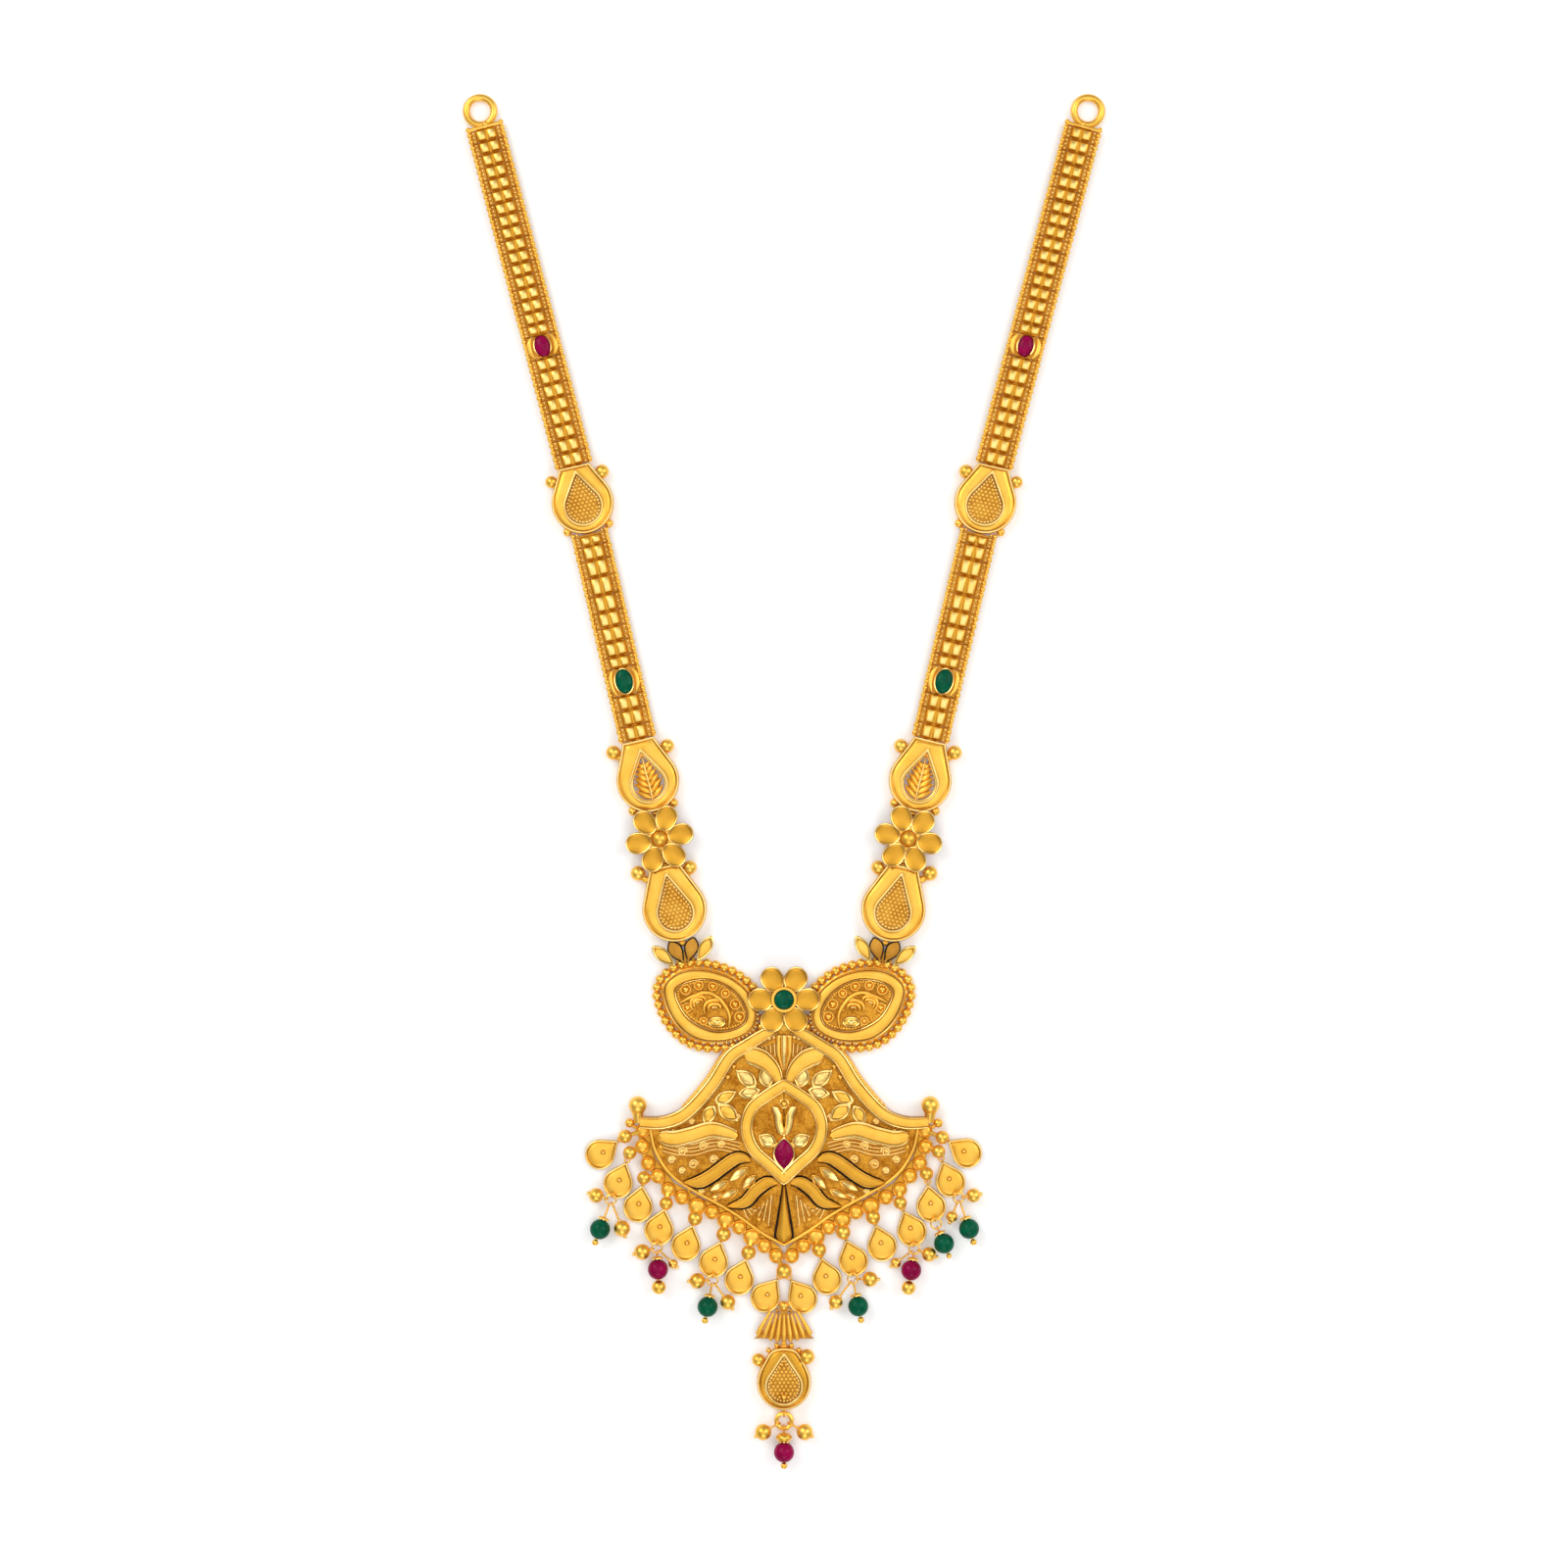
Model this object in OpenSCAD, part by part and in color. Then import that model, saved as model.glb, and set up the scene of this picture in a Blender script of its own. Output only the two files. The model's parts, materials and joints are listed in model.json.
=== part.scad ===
// Long gold necklace laid flat: two hinged straps, stations, wings, a large pendant and a fringe.
// X runs to the right, Y up along the necklace and Z out of the surface that it lies on.

/* [End rings] */
// Radius of the hole in each end ring
eyelet_hole_r = 1.85; // [1.8:0.05:1.9]
// Diameter of the end ring's wire
eyelet_wire_d = 1.3; // [1.25:0.05:1.35]

/* [Strap] */
// Width of a strap over its granule rails
strap_w = 7.2; // [7.1:0.05:7.3]
// Width of a link's bar
bar_w = 3.9; // [3.8:0.05:4.0]
// Pitch of the links above the ruby
upper_pitch = 2.32; // [2.31:0.01:2.33]
// Pitch of the links below the ruby
middle_pitch = 2.58; // [2.57:0.01:2.59]
// Radius of a rail granule
granule_r = 0.52; // [0.5:0.01:0.53]
// Radius of a hinge wire
hinge_wire_r = 0.2; // [0.18:0.01:0.2]
// Lean of the upper strap from the vertical, in degrees
upper_lean = 14.8; // [14.7:0.1:14.9]
// Lean of the lower strap from the vertical, in degrees
lower_lean = 13.2; // [13.1:0.1:13.3]

/* [Stations] */
// Radius of the round part of the upper drop station
drop_upper_r = 5.67; // [5.6:0.01:5.7]
// Radius of the round part of the leaf station
leaf_r = 5.72; // [5.65:0.01:5.75]
// Radius of the round part of the lower drop station
drop_lower_r = 5.88; // [5.8:0.01:5.9]
// Thickness of a station over its band
station_h = 1.8; // [1.7:0.05:1.85]

/* [Stones] */
// Length and width of the oval rubies
ruby_oval = [4.0, 2.8]; // [2:0.1:5]
// Length and width of the oval emeralds
emerald_oval = [4.5, 3.1]; // [2:0.1:5]
// Radius of the round emerald
emerald_r = 1.76; // [1.7:0.01:1.8]
// Length and width of the marquise ruby
marquise = [5.4, 3.4]; // [3:0.1:6]
// Radius of the hanging coloured beads
bead_r = 1.86; // [1.8:0.01:1.88]

/* [Pendant] */
// Thickness of the pendant's back plate
plate_t = 0.6; // [0.5:0.05:0.7]
// Width of the shoulder band
shoulder_w = 2.0; // [1.9:0.05:2.1]
// Width of the band round the central drop
frame_w = 1.75; // [1.6:0.05:1.8]

/* [Fringe] */
// Radius of the round part of a disc
disc_r = 2.75; // [2.6:0.05:2.8]
// Radius of a small cup
cup_r = 1.25; // [1.2:0.01:1.26]

/* [Hidden] */
$fn = 32;

GOLD = "goldenrod";
RUBY = "mediumvioletred";
EMERALD = "seagreen";

// Heights that every hinge shares
hinge_z = 0.58;
knuckle_r = 0.58;
knuckle_bore_r = 0.32;
knuckle_w = 0.9;
bar_z = 1.28;
bar_gap = 0.15;

// Rows of each strap, top to bottom, as lengths along it
upper_rows = concat([for (i = [1:16]) upper_pitch], [2.0]);
ruby_row = 4.35;
middle_rows = concat([2.35], [for (i = [1:7]) middle_pitch]);
lower_rows = [1.9, 2.72, 3.13, 3.47, 3.15, 2.84, 2.79, 2.76, 2.2];
emerald_row = 5.14;
last_rows = [2.7, 2.89, 2.77];

// Arithmetic
function total(list, n = -1) =
    let (last = n < 0 ? len(list) : n) last == 0 ? 0 : list[last - 1] + total(list, last - 1);
function ahead(p, lean, d) = p + d * [sin(lean), -cos(lean)];
function polar(c, r, a) = c + r * [cos(a), sin(a)];
function flat(v) = [v[0], v[1]];
function heading(a, b) = atan2(b[1] - a[1], b[0] - a[0]);
function shifted(p, v) = [for (q = p) q + v];

// A smooth curve through points, with open or joined ends
function spline_point(a, b, c, d, t) =
    0.5 * (2 * b + (c - a) * t + (2 * a - 5 * b + 4 * c - d) * t * t
    + (3 * b - a - 3 * c + d) * t * t * t);
function spline(p, steps = 3) = let (n = len(p)) concat(
    [for (i = [0:n - 2], k = [0:steps - 1])
        spline_point(p[max(i - 1, 0)], p[i], p[i + 1], p[min(i + 2, n - 1)], k / steps)],
    [p[n - 1]]);
function loop_spline(p, steps = 3) = let (n = len(p)) [for (i = [0:n - 1], k = [0:steps - 1])
    spline_point(p[(i + n - 1) % n], p[i], p[(i + 1) % n], p[(i + 2) % n], k / steps)];

// Outlines
function loop_side(p, i) = let (
    n = len(p), a = p[(i + n - 1) % n], b = p[(i + 1) % n], d = (b - a) / norm(b - a)) [-d[1], d[0]];
function grown(p, d) = [for (i = [0:len(p) - 1]) p[i] + loop_side(p, i) * d];
// The point at the length s along a closed outline
function walk(p, s, i = 0) = let (
    n = len(p), a = p[i % n], b = p[(i + 1) % n], d = norm(b - a))
    s <= d ? a + (b - a) * s / d : walk(p, s - d, i + 1);
function side_of(p, i) = let (
    a = p[max(i - 1, 0)], b = p[min(i + 1, len(p) - 1)], d = (b - a) / norm(b - a)) [-d[1], d[0]];
function swell(t, first, last) = t < 0.35 ? first + (1 - first) * sin(90 * t / 0.35)
    : t > 0.65 ? last + (1 - last) * sin(90 * (1 - t) / 0.35) : 1;
function ribbon(p, w, first = 1, last = 1) = let (n = len(p)) concat(
    [for (i = [0:n - 1]) p[i] + side_of(p, i) * w / 2 * swell(i / (n - 1), first, last)],
    [for (i = [n - 1:-1:0]) p[i] - side_of(p, i) * w / 2 * swell(i / (n - 1), first, last)]);
function leaf(length, w) = concat(
    [for (i = [0:5]) let (t = i / 6) [w / 2 * sin(180 * pow(t, 0.85)), length * t]],
    [for (i = [6:-1:1]) let (t = i / 6) [-w / 2 * sin(180 * pow(t, 0.85)), length * t]]);
function ellipse(length, w, n = 20) =
    [for (i = [0:n - 1]) [w / 2 * cos(360 * i / n), length / 2 * sin(360 * i / n)]];
function lens(length, w) = concat(
    [for (i = [0:8]) let (t = i / 4 - 1) [w / 2 * (1 - t * t), length / 2 * t]],
    [for (i = [7:-1:1]) let (t = i / 4 - 1) [-w / 2 * (1 - t * t), length / 2 * t]]);
// A round foot of radius r, drawn up by straight sides to a flat top or a point
function drop(r, top_y, top_half, n = 20) = let (
    reach = norm([top_half, top_y]),
    start = atan2(top_y, top_half) - acos(r / reach),
    sweep = 180 - 2 * start)
    concat([[top_half, top_y]],
        [for (i = [0:n]) polar([0, 0], r, start - (360 - sweep) * i / n)],
        top_half > 0 ? [[-top_half, top_y]] : []);

// Solids
module rod(a, b, r) {
    d = b - a;
    translate(a)
        rotate([0, acos(d[2] / norm(d)), atan2(d[1], d[0])])
            cylinder(h = norm(d), r = r);
}

module slab(outline, from, to) {
    translate([0, 0, from])
        linear_extrude(to - from)
            polygon(outline);
}

module block(x, y, z) {
    translate([x[0], y[0], z[0]])
        cube([x[1] - x[0], y[1] - y[0], z[1] - z[0]]);
}

module ball(p, r, z) {
    translate([p[0], p[1], z])
        sphere(r);
}

// A ball whose axis points at what it is soldered to
module ball_to(p, q, r) {
    d = q - p;
    translate(p)
        rotate([0, acos(d[2] / norm(d)), atan2(d[1], d[0])])
            rotate([0, 0, 180])
                sphere(r);
}

module flat_ring(p, ring_r, wire_r, z) {
    translate([p[0], p[1], z])
        rotate_extrude()
            translate([ring_r, 0])
                circle(wire_r, $fn = 20);
}

// A ring that stands on edge, with its axis square to the heading a
module standing_ring(p, ring_r, wire_r, z, a) {
    translate([p[0], p[1], z])
        rotate([90, 0, a])
            rotate_extrude()
                translate([ring_r, 0])
                    circle(wire_r, $fn = 20);
}

// Carries its children to a place on the left half, turned so that -Y runs down the strap
module at(p, lean) {
    translate([p[0], p[1], 0])
        rotate([0, 0, lean])
            children();
}

module both(right) {
    if (right) mirror([1, 0, 0]) children();
    else children();
}

// Hinge: a knuckle below each piece wraps the cross wire above the next
module knuckle(y, neck) {
    translate([0, y, hinge_z])
        rotate([0, 90, 0])
            difference() {
                cylinder(h = knuckle_w, r = knuckle_r, center = true);
                cylinder(h = knuckle_w + 1, r = knuckle_bore_r, center = true);
            }
    block([-knuckle_w / 2, knuckle_w / 2], [y + 0.38, y + neck], [0.12, 1.0]);
}

module cross_wire(y, root) {
    rod([-1.3, y, hinge_z], [1.3, y, hinge_z], hinge_wire_r);
    for (x = [-1.55, 1.15])
        block([x, x + 0.4], [y - root, y + 0.24], [0.3, 0.86]);
}

// Strap
rail_x = strap_w / 2 - granule_r;
granule_pitch = 1.15;

module rail_pair(length, count) {
    pitch = length / count;
    r = min(granule_r, pitch / 2 - 0.05);
    for (s = [-1, 1]) {
        rod([s * rail_x, -length / 2 + 0.09, 1.3], [s * rail_x, length / 2 - 0.09, 1.3], 0.26);
        for (i = [0:count - 1])
            translate([s * rail_x, -length / 2 + pitch * (i + 0.5), 1.3])
                rotate([90, 0, s > 0 ? 0 : 180])
                    sphere(r);
    }
}

module link_body(length) {
    half = length / 2;
    translate([0, 0, bar_z])
        slab([[-bar_w / 2, -half + bar_gap / 2], [bar_w / 2, -half + bar_gap / 2],
            [bar_w / 2, half - bar_gap / 2], [-bar_w / 2, half - bar_gap / 2]], 0, 0.45);
    for (x = [-bar_w / 4, bar_w / 4])
        translate([x, 0, bar_z + 0.4])
            scale([1, (length - 0.5) / (bar_w / 2 - 0.2), 1])
                rotate([0, 0, 45])
                    cylinder(h = 0.55, r1 = (bar_w / 2 - 0.2) / sqrt(2), r2 = 0.45, $fn = 4);
    for (y = [-length / 4, length / 4])
        rod([-rail_x, y, 1.4], [rail_x, y, 1.4], 0.17);
    rail_pair(length, round(length / granule_pitch));
    knuckle(-half, 0.75);
    block([-0.4, 0.4], [-half + 0.4, -half + 0.75], [0.9, 1.4]);
    cross_wire(half, 0.7);
    for (x = [-1.55, 1.15])
        block([x, x + 0.4], [half - 0.7, half - 0.1], [0.5, 1.35]);
}

module link_run(start, lean, rows, offset) {
    for (i = [0:len(rows) - 1])
        at(ahead(start, lean, offset + total(rows, i) + rows[i] / 2), lean)
            link_body(rows[i]);
}

module oval_setting(length, stone) {
    half = length / 2;
    bezel = [stone[0] + 0.7, stone[1] + 0.7];
    difference() {
        union() {
            slab(ellipse(min(bezel[0], length - 0.1), bezel[1]), 1.3, 2.3);
            slab([[-2.6, -half + 0.1], [2.6, -half + 0.1],
                [2.6, half - 0.1], [-2.6, half - 0.1]], 1.28, 1.6);
            for (s = [-1, 1])
                translate([s * 2.15, 0, 0])
                    slab(shifted(leaf(length - 0.4, 0.9), [0, -half + 0.2]), 1.5, 2.0);
        }
        slab(ellipse(stone[0] + 0.2, stone[1] + 0.2), 1.55, 3);
    }
    for (y = [-length / 4, length / 4])
        rod([-rail_x, y, 1.4], [rail_x, y, 1.4], 0.17);
    rail_pair(length, round(length / granule_pitch));
    knuckle(-half, 0.75);
    block([-0.4, 0.4], [-half + 0.4, -half + 0.75], [0.9, 1.4]);
    cross_wire(half, 0.7);
    for (x = [-1.55, 1.15])
        block([x, x + 0.4], [half - 0.7, half - 0.1], [0.5, 1.35]);
}

// A domed stone in rings of a shrinking ellipse
module cabochon(stone, base, rise) {
    n = 16;
    rings = 4;
    function level(k) = let (a = 90 * k / rings)
        [for (i = [0:n - 1]) [stone[1] / 2 * cos(a) * cos(360 * i / n),
            stone[0] / 2 * cos(a) * sin(360 * i / n), base + 0.3 + rise * sin(a)]];
    foot = [for (q = level(0)) [q[0], q[1], base]];
    points = concat(foot, [for (k = [0:rings - 1]) each level(k)], [[0, 0, base + 0.3 + rise]]);
    top = len(points) - 1;
    polyhedron(points, concat(
        [[for (i = [0:n - 1]) i]],
        [for (k = [0:rings - 1], i = [0:n - 1]) let (j = (i + 1) % n)
            [k * n + j, k * n + i, (k + 1) * n + i, (k + 1) * n + j]],
        [for (i = [0:n - 1]) [rings * n + (i + 1) % n, rings * n + i, top]]));
}

// Places along the left chain
strap_top = [-54.79, 119.57];
ruby_place = ahead(strap_top, upper_lean, total(upper_rows) + ruby_row / 2);
upper_end = ahead(strap_top, upper_lean, total(upper_rows) + ruby_row + total(middle_rows));
drop_upper_top = 6.9;
drop_upper_lean = 12.8;
drop_upper_place = ahead(upper_end, drop_upper_lean, drop_upper_top + 0.1);
lower_top = ahead(drop_upper_place, drop_upper_lean, drop_upper_r + 0.4);
emerald_place = ahead(lower_top, lower_lean, total(lower_rows) + emerald_row / 2);
lower_end = ahead(lower_top, lower_lean, total(lower_rows) + emerald_row + total(last_rows));
leaf_top = 7.7;
leaf_lean = 13.6;
leaf_place = ahead(lower_end, leaf_lean, leaf_top + 0.1);
flower_lean = 11.7;
flower_reach = 4.7;
flower_place = ahead(leaf_place, flower_lean, leaf_r + 0.4 + flower_reach);
flower_foot = 5.0;
drop_lower_top = 8.2;
drop_lower_lean = 13.2;
drop_lower_place =
    ahead(ahead(flower_place, 9.4, flower_foot), drop_lower_lean, drop_lower_top + 0.1);
bud_lean = 10;
bud_top = ahead(drop_lower_place, drop_lower_lean, drop_lower_r + 0.4);
bud_reach = 4.1;
bud_root = ahead(bud_top, bud_lean, bud_reach);
wing_place = [-14.04, -41.22];

module eyelet_solid() {
    ring_r = eyelet_hole_r + eyelet_wire_d / 2 + 0.02;
    ring_at = ahead(strap_top, upper_lean, -3.49) + [-0.08, -0.05];
    translate([ring_at[0], ring_at[1], 0.65])
        rotate_extrude()
            union() {
                translate([ring_r, 0])
                    circle(eyelet_wire_d / 2, $fn = 32);
                translate([eyelet_hole_r, -0.3])
                    square([0.5, 0.6]);
            }
    at(strap_top, upper_lean) {
        block([-strap_w / 2 + 0.3, strap_w / 2 - 0.3], [0.1, 0.62], [0.98, 1.75]);
        block([-0.4, 0.4], [0.4, 0.6], [0.8, 1.2]);
        for (x = [-rail_x, rail_x])
            ball_to([x, 0.52, 1.3], [0, 0.52, 1.3], 0.46);
        ball_to([0.2, 0.75, 1.3], [0.2, 0, 1.3], 0.55);
        knuckle(0, 0.6);
    }
}

// Stations
module station_plate(r, top_y, top_half, inner_r, inner_top, pierced, foot = true) {
    outer = drop(r, top_y, top_half);
    inner = shifted(drop(inner_r, inner_top + 0.6, 0.05), [0, -0.6]);
    difference() {
        union() {
            slab(outer, 0.2, station_h);
            difference() {
                slab(outer, station_h - 0.2, station_h + 0.3);
                slab(drop(r - 0.45, top_y - 0.45, top_half * 0.85), station_h - 1, station_h + 1);
            }
            difference() {
                slab(shifted(drop(inner_r + 0.35, inner_top + 1.3, 0.1), [0, -0.6]),
                    station_h - 0.2, station_h + 0.2);
                slab(inner, station_h - 1, station_h + 1);
            }
        }
        slab(inner, pierced ? -1 : 1.0, station_h + 2);
        block([-0.65, 0.65], [top_y - 0.72, top_y + 1], [-1, bar_z + 0.05]);
    }
    cross_wire(top_y + 0.1, 0.6);
    if (foot)
        knuckle(-r - 0.4, 0.8);
}

module shoulder_balls(left, right, z = 1.25) {
    for (b = [left, right]) {
        from = [b[0], b[1], max(z, b[2])];
        to = [b[0] * 0.45, b[1] - abs(b[0]) * 0.35, from[2]];
        ball_to(from, to, b[2]);
        rod(from, to, 0.5);
    }
}

module foot_balls(left, right) {
    for (b = [left, right])
        ball_to([b[0], b[1], 1.0], [0, 0, 1.0], b[2]);
}

module drop_station_upper_solid() {
    station_plate(drop_upper_r, drop_upper_top, 2.8, 3.25, 5.4, false);
    shoulder_balls([-4.75, 5.0, 1.0], [4.75, 4.85, 1.15]);
    foot_balls([-3.9, -4.6, 0.65], [3.9, -4.7, 0.65]);
}

module leaf_station_solid() {
    station_plate(leaf_r, leaf_top, 2.9, 3.15, 5.4, true);
    shoulder_balls([-4.95, 6.5, 1.2], [4.95, 5.4, 1.15]);
    foot_balls([-4.0, -4.75, 0.7], [3.6, -5.05, 0.7]);
    difference() {
        slab(shifted(drop(3.3, 5.9, 0.05), [0, -0.6]), 0.7, 1.0);
        for (s = [-1, 1], k = [0:5])
            translate([s * 0.35, -2.9 + k * 1.15, 0])
                rotate([0, 0, -s * 45])
                    translate([0, k == 5 ? 0.1 : 0.5, 0])
                        slab(leaf(k == 5 ? 0.9 : 2.4 - abs(k - 1.5) * 0.3, 0.62), 0, 2);
    }
    block([-0.2, 0.2], [-3.9, 4.6], [0.9, 1.45]);
}

module petal_ring(count, first, reach, length, w, from, to) {
    for (i = [0:count - 1])
        rotate([0, 0, first + 360 * i / count - 90])
            translate([0, reach, 0])
                difference() {
                    slab(ellipse(length, w), from, to);
                    slab(ellipse(length - 0.9, w - 0.9), to - 0.45, to + 1);
                }
}

module flower_station_solid() {
    petal_ring(6, 12 - flower_lean, 3.85, 4.6, 3.75, 2.2, 2.95);
    cylinder(h = 2.7, r = 2.5);
    translate([0, 0, 2.2])
        sphere(1.4);
    ball([0, 0], 0.42, 3.6);
    for (x = [-1.55, 1.15])
        block([x, x + 0.4], [0, flower_reach + 0.24], [0.3, 0.86]);
    rod([-1.3, flower_reach, hinge_z], [1.3, flower_reach, hinge_z], hinge_wire_r);
    rotate([0, 0, -2.3]) {
        knuckle(-flower_foot, 1.2);
        block([-0.4, 0.4], [-flower_foot + 0.5, 0], [0.2, 1.1]);
    }
}

module drop_station_lower_solid() {
    station_plate(drop_lower_r, drop_lower_top, 2.8, 3.15, 6.3, false);
    shoulder_balls([-5.0, 8.0, 1.25], [4.5, 6.9, 1.15]);
}

module bud_link_solid() {
    for (s = [-1, 1]) {
        rotate([0, 0, s * 26])
            translate([0, 0.7, 0])
                slab(leaf(4.6, 3.0), 1.28, 2.1);
        translate([-s * 2.0, 0.2, 0])
            rotate([0, 0, s * 42.7])
                slab(leaf(5.3, 2.2), 1.28, 1.95);
    }
    slab([[-1.7, 0.2], [1.7, 0.2], [2.2, 2.6], [-2.2, 2.6]], 0.2, 1.4);
    for (x = [-1.55, 1.15])
        block([x, x + 0.4], [2, bud_reach + 0.24], [0.3, 0.86]);
    rod([-1.3, bud_reach, hinge_z], [1.3, bud_reach, hinge_z], hinge_wire_r);
    knuckle(-0.25, 0.9);
}

// Wing, drawn from its own centre
wing_outer = [[-8.2, 2.9], [-5.6, 6.0], [-1.3, 6.8], [4.0, 5.4], [7.7, 2.4],
    [9.0, -1.0], [8.2, -4.4], [3.5, -6.5], [-2.4, -6.1], [-6.5, -2.5]];
wing_inner = [[-5.6, 3.0], [-2.9, 4.5], [1.2, 4.6], [5.0, 2.4], [7.1, -1.2],
    [6.0, -3.7], [1.5, -4.5], [-3.0, -2.5], [-5.2, 0.5]];
wing_ridge = [[-5.1, 0.6], [-2.4, 1.9], [0.0, 2.5], [2.3, 1.2], [4.0, -1.6], [3.9, -4.0]];
// Columns: x, y, radius of the small balls in the wing's recess
wing_balls = [[-4.0, 3.0, 0.8], [-1.6, 3.8, 0.7], [1.0, 3.6, 0.7], [3.3, 2.3, 0.65],
    [5.1, 0.3, 0.8], [5.9, -2.0, 0.8], [-3.7, -0.3, 0.7], [-0.7, -2.8, 0.6]];
// Rim beads: one run round the outside, from the bud to below the flower, and one over the top
rim_bead_r = 0.86;
rim_pitch = 1.75;
rim_path = grown(loop_spline(wing_outer), 1.15);
wing_rim = concat([for (i = [0:11]) walk(rim_path, 57.0 - rim_pitch * i)],
    [for (i = [0:4]) walk(rim_path, 12.9 + rim_pitch * i)]);

module wing_solid() {
    outer = loop_spline(wing_outer);
    inner = loop_spline(wing_inner);
    difference() {
        union() {
            slab(outer, 0.2, 2.1);
            difference() {
                slab(grown(outer, 1.2), 0.3, 1.15);
                block([-6.9, 1.0], [4, 9], [0, 2]);
                block([2.9, 12], [-9, -3], [0, 2]);
                block([7, 12], [-9, 2.6], [0, 2]);
            }
        }
        slab(inner, 1.0, 3);
        translate([bud_root[0] - wing_place[0], bud_root[1] - wing_place[1], 0])
            rotate([0, 0, bud_lean])
                block([-0.7, 0.7], [-1.1, 3], [-1, bar_z]);
    }
    slab(ribbon(spline(wing_ridge), 0.5, 0.6, 0.6), 0.9, 1.8);
    for (b = wing_balls)
        ball(b, b[2], 1.15);
    translate([-0.9, 0.1, 0]) rotate([0, 0, 25]) slab(ellipse(3.2, 2.2), 0.9, 1.7);
    translate([1.6, -0.5, 0]) rotate([0, 0, -60]) slab(ellipse(3.2, 2.0), 0.9, 1.95);
    translate([1.6, -3.0, 0]) slab(ellipse(1.8, 3.0), 0.9, 1.75);
    for (p = wing_rim)
        ball_to([p[0], p[1], 0.95], [0, 0, 0.95], rim_bead_r);
    at(bud_root - wing_place, bud_lean) {
        cross_wire(-0.25, 0.9);
        for (x = [-1.55, 1.15])
            block([x, x + 0.4], [-1.2, -0.4], [0.3, 1.0]);
    }
    wing_eye();
}

// Each wing hangs on a post of the pendant's neck, under the centre flower
flower_y = -39.96;
post_place = [-3.9, flower_y - 0.3];

module wing_eye() {
    p = post_place - wing_place;
    difference() {
        union() {
            translate([p[0], p[1], 1.15])
                cylinder(h = 0.55, r = 1.0);
            block([7.6, p[0]], [p[1] - 0.7, p[1] + 0.7], [1.15, 1.7]);
        }
        translate([p[0], p[1], 0])
            cylinder(h = 4, r = 0.6);
    }
}

module centre_flower_solid() {
    translate([0, flower_y, 0]) {
        difference() {
            union() {
                petal_ring(6, 0, 4.2, 4.8, 4.0, 2.7, 3.35);
                translate([0, 0, 1.8])
                    cylinder(h = 1.7, r = 2.5);
            }
            translate([0, 0, 2.85])
                cylinder(h = 3, r = emerald_r + 0.06);
        }
        translate([0, 0, 0.1])
            cylinder(h = 2, r = 0.6);
    }
}

module emerald_round_solid() {
    translate([0, flower_y, 0])
        cabochon([2 * emerald_r, 2 * emerald_r], 2.9, 0.7);
}

// Pendant
shoulder_line = [[-3.1, -46.3], [-6.8, -48.4], [-9.9, -50.6], [-13.2, -55.7],
    [-17.8, -60.7], [-22.0, -62.5], [-26.4, -62.5]];
// A point just past the shoulder's end, for the room that the cups leave round it
shoulder_end = [-26.8, -62.5];
rim_line = [[-24.6, -63.2], [-23.4, -68.2], [-19.6, -73.1], [-9.9, -78.7], [-4.3, -82.6],
    [0, -85.0]];
frame_line = [[0, -55.6], [-3.0, -57.5], [-5.65, -59.6], [-6.8, -62.3], [-6.7, -65.0],
    [-5.4, -67.7], [-2.7, -70.2], [0, -72.8]];
comma_line = [[-6.4, -49.8], [-4.0, -50.8], [-2.2, -52.6], [-1.1, -54.8]];
upper_leaf_line = [[-22.5, -64.5], [-20.0, -65.4], [-16.9, -64.9], [-13.0, -63.7], [-8.6, -64.7]];
middle_leaf_line = [[-6.2, -69.4], [-8.8, -69.1], [-13.4, -72.3], [-15.7, -73.4], [-18.2, -73.6]];
lower_leaf_line = [[-1.3, -73.5], [-3.1, -73.5], [-5.2, -75.0], [-7.2, -77.1], [-10.2, -78.0]];
// Columns: root x, root y, heading in degrees, length, width of the small leaves
small_leaves = [[-4.9, -56.9, 152, 4.0, 2.1], [-3.9, -56.6, 78, 3.7, 2.4],
    [-4.5, -57.6, 186, 3.6, 2.3], [-11.5, -60.2, 82, 4.2, 2.4],
    [-11.9, -60.6, 172, 3.8, 2.3], [-11.4, -59.3, 12, 3.4, 2.3]];

// The central frame's outline, grown outwards by d
function frame_loop(d) = let (
    f = spline(frame_line), n = len(f),
    side = [for (i = [1:n - 2]) f[i] - side_of(f, i) * d])
    concat([[0, f[0][1] + 1.3 * d]], side, [[0, f[n - 1][1] - 1.3 * d]], mirrored(side));
function mirrored(p) = [for (i = [len(p) - 1:-1:0]) [-p[i][0], p[i][1]]];

module pair() {
    children();
    mirror([1, 0, 0])
        children();
}

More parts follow.
